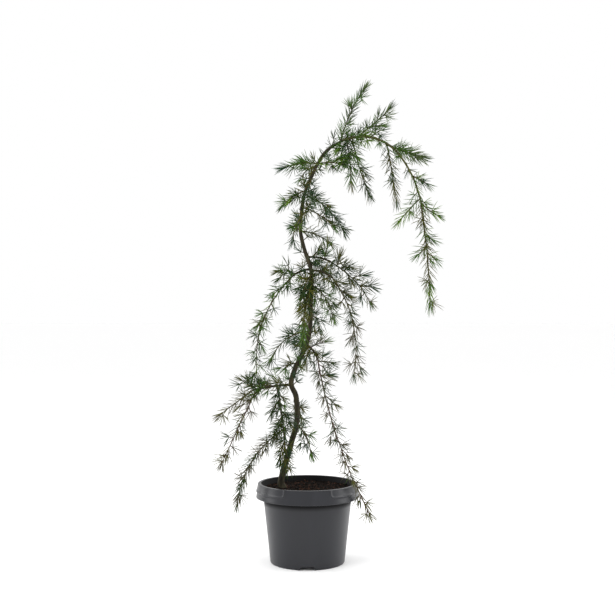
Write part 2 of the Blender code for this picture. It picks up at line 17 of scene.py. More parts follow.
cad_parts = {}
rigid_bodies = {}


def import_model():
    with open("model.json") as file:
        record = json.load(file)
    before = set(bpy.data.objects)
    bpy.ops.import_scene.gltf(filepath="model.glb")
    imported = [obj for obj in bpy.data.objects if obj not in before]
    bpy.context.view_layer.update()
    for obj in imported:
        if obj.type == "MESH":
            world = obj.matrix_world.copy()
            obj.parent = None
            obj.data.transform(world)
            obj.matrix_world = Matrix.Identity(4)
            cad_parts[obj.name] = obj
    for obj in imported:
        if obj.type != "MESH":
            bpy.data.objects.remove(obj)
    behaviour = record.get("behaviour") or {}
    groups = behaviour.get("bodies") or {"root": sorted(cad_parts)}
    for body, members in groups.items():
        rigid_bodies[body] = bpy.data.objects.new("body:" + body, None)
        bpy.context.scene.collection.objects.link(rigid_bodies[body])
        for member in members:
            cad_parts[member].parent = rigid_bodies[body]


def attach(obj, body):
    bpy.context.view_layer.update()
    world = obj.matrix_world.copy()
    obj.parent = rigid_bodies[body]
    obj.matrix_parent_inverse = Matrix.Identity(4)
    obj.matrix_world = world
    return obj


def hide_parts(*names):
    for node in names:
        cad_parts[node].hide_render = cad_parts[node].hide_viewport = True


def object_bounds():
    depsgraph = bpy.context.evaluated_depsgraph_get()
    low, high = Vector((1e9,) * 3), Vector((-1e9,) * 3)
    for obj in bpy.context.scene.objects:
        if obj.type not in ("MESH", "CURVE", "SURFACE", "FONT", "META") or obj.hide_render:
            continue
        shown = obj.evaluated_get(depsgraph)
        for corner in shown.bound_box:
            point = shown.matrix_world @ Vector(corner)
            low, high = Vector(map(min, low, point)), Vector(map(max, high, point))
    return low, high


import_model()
CAD_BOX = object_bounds()

# ---------------------------------------------------------------- camera
IMAGE_WIDTH_PX = 615
FOCAL_LENGTH_PX = 1052.0
SENSOR_WIDTH_MM = 36.0
CAMERA_HEIGHT = 0.470
CAMERA_DISTANCE = 1.946

# ---------------------------------------------------------------- studio
FLOOR_HALF = 30.0
# name, place, the spot it faces, width, height, watts
LIGHTS = (
    ("key", (-1.4, -1.5, 2.4), (0.0, 0.0, 0.40), 1.2, 1.2, 22.0),
    ("left_box", (-2.0, 0.50, 0.90), (0.0, 0.0, 0.30), 1.7, 1.4, 26.0),
    ("right_box", (2.0, 0.30, 0.90), (0.0, 0.0, 0.30), 2.0, 1.4, 28.0),
)

# ---------------------------------------------------------------- pot
POT_HEIGHT = 0.146
POT_WALL = 0.0016
POT_FLOOR = 0.002
FOOT_RADIUS = 0.0685
FOOT_ROUND = 0.003
SHOULDER_RADIUS = 0.0815
SKIRT_FOOT_RADIUS = 0.095
SKIRT_TOP_RADIUS = 0.0906
SKIRT_FOOT_HEIGHT = 0.120
SKIRT_THICKNESS = 0.002
MOUTH_RADIUS = 0.0847
LIP_ROUND = 0.0012
POT_SEGMENTS = 480
WALL_LEAN = 6.0
SKIRT_LEAN = 8.0
SHARP_ANGLE = 40.0
FRONT = 270.0
UNDERSIDE_STATION = 0.01
WALL_STATION = 0.004
SKIRT_STATION = 0.0005
FOOT_STEPS = 6
INNER_FOOT_STEPS = 4
LIP_STEPS = 5
BAND_FOOT_HEIGHT = 0.1308
BAND_PROUD = 0.0012
BAND_EDGE = 0.0010
BAND_CORNER = 0.0078
BEAD_PROUD = 0.0009
BEAD_WIDTH = 0.0017
PANEL_HALF_ANGLE = 25.5
# how far down the wall under the skirt the painted shade fades in, and where it is full
PAINTED_SHADE_REACH = 0.014
PAINTED_SHADE_FULL = 0.005
CHANNEL_COUNT = 3
CHANNEL_HEIGHT = 0.0062
CHANNEL_FOOT_WIDTH = 0.032
CHANNEL_TOP_WIDTH = 0.022
CHANNEL_INNER_END = 0.030
CHANNEL_COVER = 0.0016
DRAIN_HOLE_RADIUS = 0.005
DRAIN_HOLE_CIRCLE = 0.044
DRAIN_HOLE_SIDES = 32

# ---------------------------------------------------------------- soil
SOIL_TOP = 0.136
SOIL_RADIUS = 0.0832
SOIL_LUMP = 0.0022
SOIL_LUMP_SCALE = 70.0
SOIL_LUMP_SHARE = 0.6
SOIL_CRUMB_SCALE = 420.0
SOIL_CRUMB_SHARE = 0.25
SOIL_MOUND = 0.0022
SOIL_MOUND_REACH = 0.014
SOIL_RINGS = 56
SOIL_SEGMENTS = 168
CHIP_COUNT = 1500
CHIP_SMALLEST = 0.0010
CHIP_LARGEST = 0.0042
CHIP_WIDTH = (0.2, 0.42)
CHIP_THICKNESS = (0.12, 0.3)
CHIP_CORNER = (0.65, 1.0)
CHIP_LIFT = 0.1

# ---------------------------------------------------------------- trunk: (height, right, back) of its bends
TRUNK_BENDS = (
    (0.1363, -0.047, 0.000),
    (0.155, -0.048, 0.000),
    (0.216, -0.031, 0.004),
    (0.258, -0.020, 0.006),
    (0.303, -0.021, 0.006),
    (0.327, -0.030, 0.004),
    (0.351, -0.025, 0.002),
    (0.395, -0.005, -0.002),
    (0.428, 0.004, -0.004),
    (0.475, 0.006, -0.004),
    (0.536, 0.007, 0.000),
    (0.582, -0.007, 0.003),
    (0.617, -0.013, 0.005),
    (0.674, -0.007, 0.004),
    (0.713, 0.008, 0.000),
    (0.756, 0.032, -0.004),
    (0.778, 0.065, -0.006),
)
TRUNK_FOOT_RADIUS = 0.0057
TRUNK_TIP_RADIUS = 0.0026
ROOT_FLARE = 0.0034
ROOT_FLARE_HEIGHT = 0.006
ROOT_RIDGES = 5
ROOT_RIDGE_SHARE = 0.28
ROOT_RIDGE_TURN = 0.7
TRUNK_STATION = 0.0016
TRUNK_SIDES = 28
BARK_RELIEF = 0.085
BARK_SCALE = 240.0
BARK_STRETCH = 0.35
FURROWS_ROUND = 9.0
FURROW_DRIFT = 900.0
FURROW_SHARE = 0.65
GRAIN_SHARE = 0.35
GRAIN_FINER = 3.0
KNOT_SPACING = 0.0125
KNOT_SPREAD = (0.6, 1.4)
KNOT_RISE = 0.0008
KNOT_REACH = 0.0024

# ---------------------------------------------------------------- limbs and shoots
END = None
BOUGH_SIDES = 16
BOUGH_STATION = 0.0016
COLLAR_SWELL = 0.45
COLLAR_REACH = 0.0035
STEM_SIDES = 6
STEM_STATION = 0.003
STEM_FOOT_RADIUS = 0.0014
STEM_TIP_RADIUS = 0.0008
LEADER_STEM_SHARE = 1.2
STEM_WANDER = 0.0016
STEM_WANDER_SCALE = 26.0
STEM_RELIEF = 0.10
STEM_GRAIN = 900.0
BUD_RADIUS = 0.0011
BUD_LENGTH = 0.0034
BUD_RINGS = ((0.35, 1.0), (0.75, 0.6))

TWIG_SHORTEST_SHARE = 0.45
TWIG_SIZES = (0.7, 1.15)
TWIG_SCATTER = (0.3, 0.7)
TWIG_STEPS = 5
TWIG_ANGLE = 50.0
TWIG_DROOP = 0.22
TWIG_RADIUS = 0.00085
TWIG_TIP_RADIUS = 0.0005
TWIG_NEEDLE_SPACING = 0.0023

LIMB_NEEDLE_LENGTH = 0.021
NEEDLE_WIDTH = 0.0013
NEEDLE_STATIONS = ((0.0, 0.60), (0.28, 1.0), (0.74, 0.82))
NEEDLE_BEND = 0.16
NEEDLE_FOOT_ANGLE = 54.0
NEEDLE_TIP_ANGLE = 25.0
NEEDLE_ANGLE_SPREAD = 9.0
NEEDLE_SAMPLES = 4
NEEDLE_SHARES = (1.0, 0.8, 0.6)
NEEDLE_SIZES = (0.74, 1.06)
NEEDLE_TIP_LOSS = 0.12
SPACING_SPREAD = (0.7, 1.3)
TUFT_NEEDLES = 7
TUFT_ANGLE = 30.0
TUFT_SPREAD = (0.2, 1.0)
TUFT_SIZE = (0.7, 0.95)
STAR_NEEDLES = (9, 14)
STAR_SPUR_RADIUS = 0.0009
STAR_LEAN = 62.0
STAR_LEAN_SPREAD = 15.0
STAR_START = (0.2, 0.8)
STAR_SPREAD = (15.0, 88.0)
STAR_SIZE = 0.92
STAR_SIZES = (0.75, 1.1)
SPUR_STEPS = 3
GOLDEN_ANGLE = 137.508
SPRAY_LENGTH = 0.024
SPRAY_SPREAD = (0.6, 1.4)
SEED = 11
STRAY_SEED = 5

# The rows of boughs, shoots and sprigs are in millimetres and degrees.
# where: height above the floor on the trunk, distance from its foot on a limb, or END for its tip.
# heading: 0 to the right, 90 to the back. reach: how far out its tip is. drop: how far its tip hangs
# below its foot. bow: how far its middle stands out above the straight line.
Bough = namedtuple("Bough", "name parent where heading reach drop bow foot_radius tip_radius")
BOUGH_ROWS = (
    ("leader_arch", "trunk", END, 353, 99, 22, 16, 2.5, 2),
    ("leader_fall", "leader_arch", END, 350, 45, 98, 7, 1.9, 1.4),
    ("bough_left", "trunk", 541, 164, 43, 20, 5, 2.1, 1.6),
    ("bough_right", "trunk", 538, 345, 41, 14, 5, 2, 1.6),
    ("bough_right_high", "trunk", 563, 16, 52, 12, 5, 1.9, 1.6),
    ("bough_back", "trunk", 520, 97, 46, 10, 6, 2, 1.6),
    ("bough_low_right", "trunk", 402, 319, 28, 28, 4, 2.1, 1.6),
    ("bough_low_left", "trunk", 327, 196, 73, 9, 2, 2.4, 1.6),
    ("bough_low_left_inner", "bough_low_left", 28, 301, 26, 82, 3, 1.7, 1.6),
)

# How a shoot is clothed, in metres. A feather has close single needles, an older shoot mostly stars.
Habit = namedtuple("Habit", "needle_length needle_spacing star_spacing spur twig_spacing twig_longest")
HABITS = {
    "plume": (0.0245, 0.0019, 0.050, (0.002, 0.004), 0.200, 0.012),
    "airy": (0.0250, 0.0038, 0.0185, (0.003, 0.008), 0.052, 0.018),
    "dense": (0.0265, 0.00045, 0.012, (0.002, 0.004), 0.070, 0.012),
    "brush": (0.0240, 0.0010, 0.026, (0.002, 0.004), 0.070, 0.014),
    "feather": (0.0255, 0.0016, 0.038, (0.002, 0.004), 0.070, 0.014),
    "starry": (0.0240, 0.0036, 0.0145, (0.003, 0.009), 0.042, 0.021),
    "thick": (0.0220, 0.0028, 0.0080, (0.003, 0.010), 0.026, 0.022),
}

# tint: which mix of needle colours it carries. habit: how it is clothed.
Shoot = namedtuple("Shoot", "name parent where heading reach drop bow tint habit")
SHOOT_ROWS = (
    ("needles_leader_tip", "leader_fall", END, 348, 17, 180, 2, "stem", "feather"),
    ("needles_top", "trunk", 775, 19, 47, -101, 4, "light", "brush"),
    ("needles_top_right", "leader_arch", 28, 345, 57, -45, -1, "light", "feather"),
    ("needles_top_back", "leader_arch", 52, 49, 33, -17, 1, "blue", "starry"),
    ("needles_arch_end", "leader_arch", 94, 13, 57, 17, 0, "bright", "dense"),
    ("needles_arch_hanging", "leader_arch", 84, 34, 22, 102, 2, "dark", "feather"),
    ("needles_fall_front", "leader_fall", 54, 326, 27, 14, 1, "dark", "plume"),
    ("needles_fall_left", "leader_fall", 98, 163, 36, 38, 1, "fresh", "feather"),
    ("needles_fall_right", "leader_fall", 104, 344, 29, 25, -2, "fresh", "feather"),
    ("needles_under_arch", "leader_arch", 7, 313, 12, 78, 3, "green", "feather"),
    ("needles_under_arch_right", "leader_arch", 18, 28, 36, 102, -3, "dark", "feather"),
    ("needles_high_right", "trunk", 735, 336, 48, 3, 3, "fresh", "thick"),
    ("needles_high_left", "trunk", 736, 190, 62, 8, 3, "green", "brush"),
    ("needles_high_back", "trunk", 728, 114, 68, 10, 6, "blue", "starry"),
    ("needles_upper_left", "trunk", 687, 159, 42, 24, 3, "green", "brush"),
    ("needles_upper_front", "trunk", 712, 243, 28, 78, 3, "blue", "starry"),
    ("needles_upper_right", "trunk", 680, 8, 72, 66, 10, "dark", "brush"),
    ("needles_upper_right_front", "trunk", 655, 331, 63, 35, 5, "dark", "starry"),
    ("needles_middle_right_back", "trunk", 612, 20, 58, 20, 4, "dark", "plume"),
    ("needles_middle_left_front", "trunk", 622, 241, 25, 4, 2, "green", "plume"),
    ("needles_middle_back", "trunk", 632, 102, 72, 25, 10, "blue", "starry"),
    ("needles_left_hanging", "bough_left", END, 167, 60, 187, 24, "green", "starry"),
    ("needles_left_up", "bough_left", 34, 207, 32, -7, 4, "dark", "thick"),
    ("needles_front_left_short", "trunk", 530, 248, 37, 30, 6, "dark", "thick"),
    ("needles_right_hanging", "bough_right", END, 350, 39, 174, 19, "dull", "starry"),
    ("needles_right_high_tip", "bough_right_high", END, 13, 69, 68, 6, "dark", "starry"),
    ("needles_right_high_up", "bough_right_high", 34, 297, 12, -24, 1, "dark", "feather"),
    ("needles_front_hanging", "trunk", 513, 249, 45, 102, 12, "mossy", "feather"),
    ("needles_front_left_hanging", "trunk", 506, 223, 29, 31, 8, "dark", "starry"),
    ("needles_front_right_hanging", "trunk", 512, 322, 49, 59, 9, "light", "thick"),
    ("needles_back_hanging", "bough_back", END, 105, 45, 130, 14, "blue", "starry"),
    ("needles_back_right", "trunk", 554, 58, 88, 40, 12, "blue", "starry"),
    ("needles_lower_left", "trunk", 426, 192, 71, 49, 13, "dark", "plume"),
    ("needles_lower_back", "trunk", 398, 117, 62, -10, 8, "blue", "starry"),
    ("needles_lower_left_short", "trunk", 366, 205, 33, 6, 2, "dark", "starry"),
    ("needles_lower_right_back", "trunk", 452, 75, 72, 22, 10, "blue", "starry"),
    ("needles_low_back", "trunk", 288, 84, 78, 52, 14, "dark", "starry"),
    ("needles_low_front", "trunk", 252, 302, 52, 44, 10, "dark", "starry"),
    ("needles_low_right_hanging", "bough_low_right", END, 339, 98, 272, -12, "dull", "starry"),
    ("needles_low_right_up", "bough_low_right", 12, 24, 26, -10, 1, "dark", "starry"),
    ("needles_low_left_tip", "bough_low_left", END, 188, 57, 41, 0, "dull", "plume"),
    ("needles_low_left_up", "bough_low_left", 18, 135, 22, -14, 1, "green", "starry"),
    ("needles_low_left_up_outer", "bough_low_left", 56, 208, 39, -15, 1, "dark", "thick"),
    ("needles_low_left_back", "bough_low_left", 44, 110, 52, 4, 4, "blue", "airy"),
    ("needles_low_left_hanging", "bough_low_left", 66, 168, 66, 137, 1, "dull", "starry"),
    ("needles_low_inner_tip", "bough_low_left_inner", END, 315, 6, 68, 1, "dark", "thick"),
    ("needles_low_inner_side", "bough_low_left_inner", 82, 190, 84, 130, 18, "dull", "brush"),
)
# Short shoots that leave other shoots, or fill in between them.
SPRIG_ROWS = (
    ("leader_left", "needles_leader_tip", 78, 192, 14, 13, 0, "stem", "feather"),
    ("leader_right", "needles_leader_tip", 57, 345, 10, 6, 0, "stem", "feather"),
    ("leader_right_low", "needles_leader_tip", 90, 10, 13, 9, 1, "stem", "plume"),
    ("high_left_first", "needles_high_left", 16, 160, 12, -4, 1, "green", "brush"),
    ("upper_left_first", "needles_upper_left", 16, 205, 12, 8, 1, "green", "brush"),
    ("left_hanging_first", "needles_left_hanging", 90, 200, 8, 6, 1, "green", "brush"),
    ("under_arch_first", "needles_under_arch", 12, 200, 14, 6, 1, "fresh", "brush"),
    ("under_arch_second", "needles_under_arch", 26, 340, 12, 6, 1, "fresh", "brush"),
    ("under_arch_third", "needles_under_arch", 36, 190, 14, 10, 1, "green", "brush"),
    ("high_right_first", "needles_high_right", 30, 350, 16, -6, 1, "fresh", "brush"),
    ("top_right_side", "needles_top_right", 26, 345, 20, -4, 1, "light", "plume"),
    ("right_high_first", "needles_right_high_tip", 6, 20, 6, -16, 0, "dark", "brush"),
    ("right_high_second", "needles_right_high_tip", 14, 340, 20, -2, 1, "dark", "brush"),
    ("right_high_third", "needles_right_high_tip", 44, 350, 18, -5, 1, "blue", "feather"),
    ("right_high_fourth", "needles_right_high_tip", 66, 0, 19, 0, 1, "dark", "feather"),
    ("right_high_inner", "bough_right_high", 10, 335, 10, -10, 0, "dark", "brush"),
    ("right_hanging_first", "needles_right_hanging", 10, 15, 10, 0, 1, "dark", "brush"),
    ("right_hanging_second", "needles_right_hanging", 32, 340, 10, 3, 1, "dark", "brush"),
    ("low_inner_first", "bough_low_left_inner", 30, 205, 16, 18, 2, "dark", "brush"),
    ("low_inner_second", "bough_low_left_inner", 48, 350, 16, 22, 2, "dark", "brush"),
    ("low_inner_third", "bough_low_left_inner", 66, 185, 14, 28, 2, "dark", "brush"),
    ("low_inner_fourth", "needles_low_inner_tip", 18, 210, 10, 30, 2, "dark", "brush"),
    ("low_right_first", "needles_low_right_hanging", 3, 5, 21, 1, 1, "dark", "starry"),
    ("low_right_second", "needles_low_right_hanging", 30, 10, 13, -1, 1, "dark", "brush"),
    ("low_right_inner", "bough_low_right", 14, 215, 12, 22, 1, "dark", "feather"),
)

# Stars and single needles that grow straight from the limbs, between two distances from the limb's foot,
# in metres.
Clothing = namedtuple("Clothing", "limb start end star_spacing needle_spacing tint")
CLOTHING_ROWS = (
    ("trunk", 0.190, 0.290, 0.0080, 0.020, "dark"),
    ("trunk", 0.290, 0.345, 0.0110, 0.010, "dark"),
    ("trunk", 0.345, 0.440, 0.0100, 0.008, "dark"),
    ("trunk", 0.440, 0.540, 0.0200, 0.008, "dark"),
    ("trunk", 0.540, 0.580, 0.0066, 0.006, "dark"),
    ("trunk", 0.580, 0.655, 0.0130, 0.010, "dark"),
    ("trunk", 0.655, 0.700, 0.0066, 0.006, "dark"),
    ("leader_arch", 0.000, 0.050, 0.0042, 0.003, "fresh"),
    ("leader_arch", 0.050, 0.102, 0.0400, 0.008, "green"),
    ("leader_fall", 0.000, 0.048, 0.0300, 0.0060, "green"),
    ("leader_fall", 0.048, 0.108, 0.0240, 0.0022, "fresh"),
    ("bough_left", 0.004, 0.048, 0.0085, 0.005, "dark"),
    ("bough_right", 0.004, 0.048, 0.0110, 0.006, "dark"),
    ("bough_right_high", 0.004, 0.056, 0.0110, 0.006, "dark"),
    ("bough_back", 0.004, 0.050, 0.0110, 0.006, "blue"),
    ("bough_low_right", 0.004, 0.040, 0.0110, 0.006, "dark"),
    ("bough_low_left", 0.004, 0.074, 0.0066, 0.005, "mossy"),
    ("bough_low_left_inner", 0.004, 0.088, 0.0055, 0.003, "dark"),
)
RUSSET_SHOOTS = ("needles_low_right_hanging", "needles_low_right_up", "needles_low_left_hanging")

# ---------------------------------------------------------------- colours, linear
PLASTIC = (0.0100, 0.0106, 0.0140)
PLASTIC_WORN = (0.018, 0.0188, 0.0235)
# painted shade: the near-black colour given to the pot's inside and to the band under its skirt
PLASTIC_PAINTED_SHADE = (0.0020, 0.0020, 0.0024)
RAW_ROUGHNESS = 0.95
# dark, light, and how fine the pattern is
BARKS = {
    "bark": ((0.008, 0.006, 0.0035), (0.052, 0.044, 0.020), 150.0),
    "young_bark": ((0.032, 0.032, 0.009), (0.105, 0.110, 0.032), 260.0),
    "twig_olive": ((0.022, 0.018, 0.005), (0.078, 0.068, 0.012), 420.0),
    "twig_russet": ((0.036, 0.018, 0.011), (0.090, 0.046, 0.026), 420.0),
}
SOIL_DARK = (0.0035, 0.0025, 0.002)
SOIL_LIGHT = (0.014, 0.009, 0.0065)
CHIP_TINTS = {"dark": (0.004, 0.003, 0.002), "brown": (0.032, 0.017, 0.011), "red": (0.078, 0.034, 0.020)}
CHIP_SHARES = (5, 4, 2)
WHITE = (1.0, 1.0, 1.0)
NEEDLE_TINTS = {
    "deep": (0.027, 0.052, 0.012),
    "blue": (0.031, 0.068, 0.030),
    "leaf": (0.058, 0.126, 0.018),
    "fresh": (0.114, 0.200, 0.020),
    "olive": (0.078, 0.080, 0.010),
    "pale": (0.096, 0.138, 0.048),
    "grey": (0.082, 0.076, 0.040),
}
TINT_SHARES = {
    "bright": {"leaf": 3, "fresh": 1, "pale": 3, "blue": 1},
    "dull": {"deep": 3, "olive": 3, "grey": 4},
    "stem": {"deep": 1, "leaf": 4, "olive": 4, "fresh": 1},
    "mossy": {"deep": 2, "leaf": 3, "olive": 4},
    "light": {"deep": 2, "leaf": 4, "pale": 4},
    "dark": {"deep": 4, "blue": 2, "leaf": 1, "olive": 3},
    "blue": {"deep": 3, "blue": 5, "leaf": 1, "olive": 1},
    "green": {"deep": 3, "blue": 2, "leaf": 4, "olive": 1, "fresh": 1},
    "fresh": {"deep": 1, "leaf": 5, "fresh": 3},
}

Limb = namedtuple("Limb", "line radii")
UP = Vector((0.0, 0.0, 1.0))


# ---------------------------------------------------------------- materials
class Finish:
    """A Principled material and a short way to add and join its nodes."""

    def __init__(self, name, roughness, specular=0.5):
        self.material = bpy.data.materials.new(name)
        self.material.use_nodes = True
        self.tree = self.material.node_tree
        self.shader = self.tree.nodes["Principled BSDF"]
        self.set(Roughness=roughness, Specular_IOR_Level=specular)
        self.place = self.node("ShaderNodeTexCoord").outputs["Object"]

    def feed(self, socket, value):
        """Joins an output to an input, or sets the input to a plain value."""
        if isinstance(value, bpy.types.NodeSocket):
            self.tree.links.new(value, socket)
        else:
            socket.default_value = value

    def fill(self, node, inputs):
        """Feeds a node's inputs, which are named with _ for a space."""
        for key, value in inputs.items():
            self.feed(node.inputs[key.replace("_", " ")], value)
        return node

    def node(self, kind, **inputs):
        return self.fill(self.tree.nodes.new(kind), inputs)

    def set(self, **inputs):
        self.fill(self.shader, inputs)
        return self.material

    def stretched(self, scale):
        """The place in the object, scaled by a different amount along each axis."""
        return self.node("ShaderNodeMapping", Scale=scale, Vector=self.place).outputs["Vector"]

    def noise(self, scale, detail=4.0, place=None):
        made = self.node("ShaderNodeTexNoise", Scale=scale, Detail=detail, Vector=place or self.place)
        return made.outputs["Fac"]

    def cells(self, scale, place=None):
        return self.node("ShaderNodeTexVoronoi", Scale=scale, Vector=place or self.place).outputs["Distance"]

    def ramp(self, value, stops):
        """Colours by value. stops is a list of (value, colour)."""
        made = self.node("ShaderNodeValToRGB", Fac=value)
        points = made.color_ramp.elements
        while len(points) < len(stops):
            points.new(0.5)
        for point, (at, colour) in zip(points, stops):
            point.position = at
            point.color = (*colour, 1.0)
        return made.outputs["Color"]

    def between(self, value, low, high, start=0.0, end=1.0):
        """value, from start to end, turned into a number from low to high."""
        ends = {"From_Min": start, "From_Max": end, "To_Min": low, "To_Max": high}
        return self.node("ShaderNodeMapRange", Value=value, **ends).outputs["Result"]

    def bump(self, height, distance, strength=1.0, under=None):
        made = self.node("ShaderNodeBump", Height=height, Distance=distance, Strength=strength)
        if under:
            self.feed(made.inputs["Normal"], under)
        return made.outputs["Normal"]

    def mixed(self, kind, share, first, second):
        """Output first turned into the fixed value second by this share."""
        made = self.node("ShaderNodeMix", Factor=share)
        made.data_type = kind
        letters = {"RGBA": "Color", "FLOAT": "Float"}[kind]
        ends = {socket.identifier: socket for socket in [*made.inputs, *made.outputs]}
        self.feed(ends["A_" + letters], first)
        self.feed(ends["B_" + letters], second)
        return ends["Result_" + letters]

    def calculated(self, operation, first, second=0.0):
        """A Math node of two values, each an output or a number."""
        made = self.node("ShaderNodeMath")
        made.operation = operation
        self.feed(made.inputs[0], first)
        self.feed(made.inputs[1], second)
        return made.outputs["Value"]

    def painted_shade_mask(self):
        """Mask of painted shade: 1 on the pot's inner wall and right under its skirt, fading to 0 down the
        outer wall.
        """
        axes = self.node("ShaderNodeSeparateXYZ", Vector=self.place).outputs
        squares = [self.calculated("MULTIPLY", axes[axis], axes[axis]) for axis in "XY"]
        radius = self.calculated("SQRT", self.calculated("ADD", *squares))
        inside = self.calculated("LESS_THAN", radius, MOUTH_RADIUS + LIP_ROUND)
        start = SKIRT_FOOT_HEIGHT - PAINTED_SHADE_REACH
        end = SKIRT_FOOT_HEIGHT - PAINTED_SHADE_FULL
        return self.calculated("MULTIPLY", inside, self.between(axes["Z"], 0.0, 1.0, start, end))


def scaled(colour, share):
    return tuple(channel * share for channel in colour)


def pot_finish():
    """Black plastic that handling has greyed and polished; inside and close under the skirt it is matte,
    with shade painted in as a near-black colour.
    """
    finish = Finish("pot_plastic", 0.34, 0.40)
    streaks = finish.noise(30.0, 6.0, finish.stretched((1.0, 1.0, 0.16)))
    worn = finish.ramp(streaks, [(0.30, PLASTIC), (0.62, scaled(PLASTIC, 1.18)), (0.80, PLASTIC_WORN)])
    # painted shade: the inside and the band under the skirt are coloured near black, and made matte
    painted_shade_mask = finish.painted_shade_mask()
    colour = finish.mixed("RGBA", painted_shade_mask, worn, (*PLASTIC_PAINTED_SHADE, 1.0))
    polish = finish.between(finish.noise(70.0, 5.0), 0.28, 0.40)
    roughness = finish.mixed("FLOAT", painted_shade_mask, polish, RAW_ROUGHNESS)
    grain = finish.bump(finish.noise(1500.0, 2.0), 0.00005, 0.5)
    flow = finish.bump(finish.noise(16.0, 2.0), 0.0006, 0.25, grain)
    return finish.set(Base_Color=colour, Roughness=roughness, Normal=flow)


def bark_finish(name):
    dark, light, scale = BARKS[name]
    finish = Finish(name, 0.8, 0.25)
    along = finish.stretched((1.0, 1.0, 0.35))
    patches = finish.noise(scale, 8.0, along)
    middle = tuple((a + b) / 2 for a, b in zip(dark, light))
    colour = finish.ramp(patches, [(0.32, dark), (0.52, middle), (0.72, light)])
    roughness = finish.between(patches, 0.66, 0.90)
    pores = finish.bump(finish.cells(scale * 3.2, along), 0.0003, 0.7)
    furrows = finish.bump(finish.noise(scale * 2.2, 8.0, along), 0.0006, 0.8, pores)
    return finish.set(Base_Color=colour, Roughness=roughness, Normal=furrows)


def needle_finish(tint):
    """A waxy needle of one base colour."""
    finish = Finish("needles_" + tint, 0.5, 0.12)
    roughness = finish.between(finish.noise(180.0, 2.0), 0.42, 0.60)
    return finish.set(Base_Color=(*NEEDLE_TINTS[tint], 1.0), Roughness=roughness)


def soil_finish():
    finish = Finish("soil", 0.95, 0.05)
    crumbs = finish.noise(160.0, 10.0)
    colour = finish.ramp(crumbs, [(0.35, SOIL_DARK), (0.55, scaled(SOIL_LIGHT, 0.5)), (0.72, SOIL_LIGHT)])
    fine = finish.bump(finish.noise(420.0, 6.0), 0.0012, 1.0)
    lumps = finish.bump(finish.cells(170.0), 0.0015, 0.8, fine)
    return finish.set(Base_Color=colour, Normal=lumps)


def chip_finish(tint):
    colour = CHIP_TINTS[tint]
    finish = Finish("chip_" + tint, 0.85, 0.12)
    grain = finish.noise(600.0, 6.0)
    shade = finish.ramp(grain, [(0.3, scaled(colour, 0.6)), (0.7, scaled(colour, 1.3))])
    return finish.set(Base_Color=shade, Normal=finish.bump(grain, 0.0004, 0.8))


def floor_finish():
    finish = Finish("floor", 0.6)
    stops = [(0.0, scaled(WHITE, 0.99)), (1.0, WHITE)]
    return finish.set(Base_Color=finish.ramp(finish.noise(3.0, 2.0), stops))


# ---------------------------------------------------------------- meshes
def placed(name, data):
    """A new object of this name, in the scene."""
    made = bpy.data.objects.new(name, data)
    bpy.context.scene.collection.objects.link(made)
    return made


def faceted(name, vertices, faces):
    """A new object made of these points and faces."""
    mesh = bpy.data.meshes.new(name)
    mesh.from_pydata(vertices, [], faces)
    return placed(name, mesh)


class Pile:
    """Vertices and faces gathered from many small shapes, to become one piece."""

    def __init__(self):
        self.vertices = []
        self.faces = []

    def add(self, vertices, faces):
        first = len(self.vertices)
        self.vertices += vertices
        self.faces += [tuple(first + n for n in face) for face in faces]

    def piece(self, name, finish, slot, replaced, smooth=True):
        made = faceted(name, self.vertices, self.faces)
        if smooth:
            made.data.shade_smooth()
        dressed(made, finish, replaced)


def dressed(obj, finish, replaced):
    """Gives a piece its material and body, and hides the CAD nodes that it stands for."""
    obj.data.materials.clear()
    obj.data.materials.append(finish)
    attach(obj, "root")
    if replaced:
        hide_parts(*replaced)


def ring_faces(rings, sides):
    """Quads between each ring of points and the next."""
    faces = []
    for n in range(rings - 1):
        low = n * sides
        for k in range(sides):
            after = (k + 1) % sides
            faces.append((low + k, low + after, low + sides + after, low + sides + k))
    return faces


def tip_faces(tip, sides):
    """Triangles from the ring of points just before the tip to the tip."""
    return [(tip - sides + k, tip - sides + (k + 1) % sides, tip) for k in range(sides)]


def turns(count):
    """Angles evenly round a circle, in radians."""
    return [math.tau * n / count for n in range(count)]


def spokes(direction, side, sides):
    """Unit vectors square to a direction, evenly round it from side."""
    return [Quaternion(direction, turn) @ side for turn in turns(sides)]


# ---------------------------------------------------------------- courses, as in the solids
def smooth_through(points, step):
    """Points about a step apart on the Catmull-Rom curve through the given ones."""
    padded = [points[0] * 2 - points[1], *points, points[-1] * 2 - points[-2]]
    found = [points[0]]
    for a, b, c, d in zip(padded, padded[1:], padded[2:], padded[3:]):
        count = max(1, round((c - b).length / step))
        slope = c - a
        bend = 2 * a - 5 * b + 4 * c - d
        twist = 3 * b - a - 3 * c + d
        for n in range(1, count + 1):
            t = n / count
            found.append(b + (slope * t + bend * t**2 + twist * t**3) / 2)
    return found


def bowed_course(foot, row, step):
    """Points from foot to tip on a parabola whose middle stands row.bow above the straight line."""
    heading = math.radians(row.heading)
    reach, drop, bow = row.reach / 1000, row.drop / 1000, row.bow / 1000
    out = Vector((math.cos(heading), math.sin(heading), 0.0))
    chord = out * reach - UP * drop
    rise = (out * drop + UP * reach).normalized()
    crest = foot + chord / 2 + rise * 2 * bow
    tip = foot + chord
    count = max(3, round(chord.length / step))
    shares = [n / count for n in range(count + 1)]
    return [foot * (1 - t) ** 2 + crest * 2 * t * (1 - t) + tip * t**2 for t in shares]


def lengths_along(course):
    total = [0.0]
    for a, b in zip(course, course[1:]):
        total.append(total[-1] + (b - a).length)
    return total


def at_height(course, height):
    """Distance from the course's foot to where it passes this height."""
    total = 0.0
    for a, b in zip(course, course[1:]):
        if b.z >= height:
            return total + (b - a).length * (height - a.z) / (b.z - a.z)
        total += (b - a).length
    return total


def tapered(course, foot_radius, tip_radius):
    along = lengths_along(course)
    return [foot_radius + (tip_radius - foot_radius) * s / along[-1] for s in along]


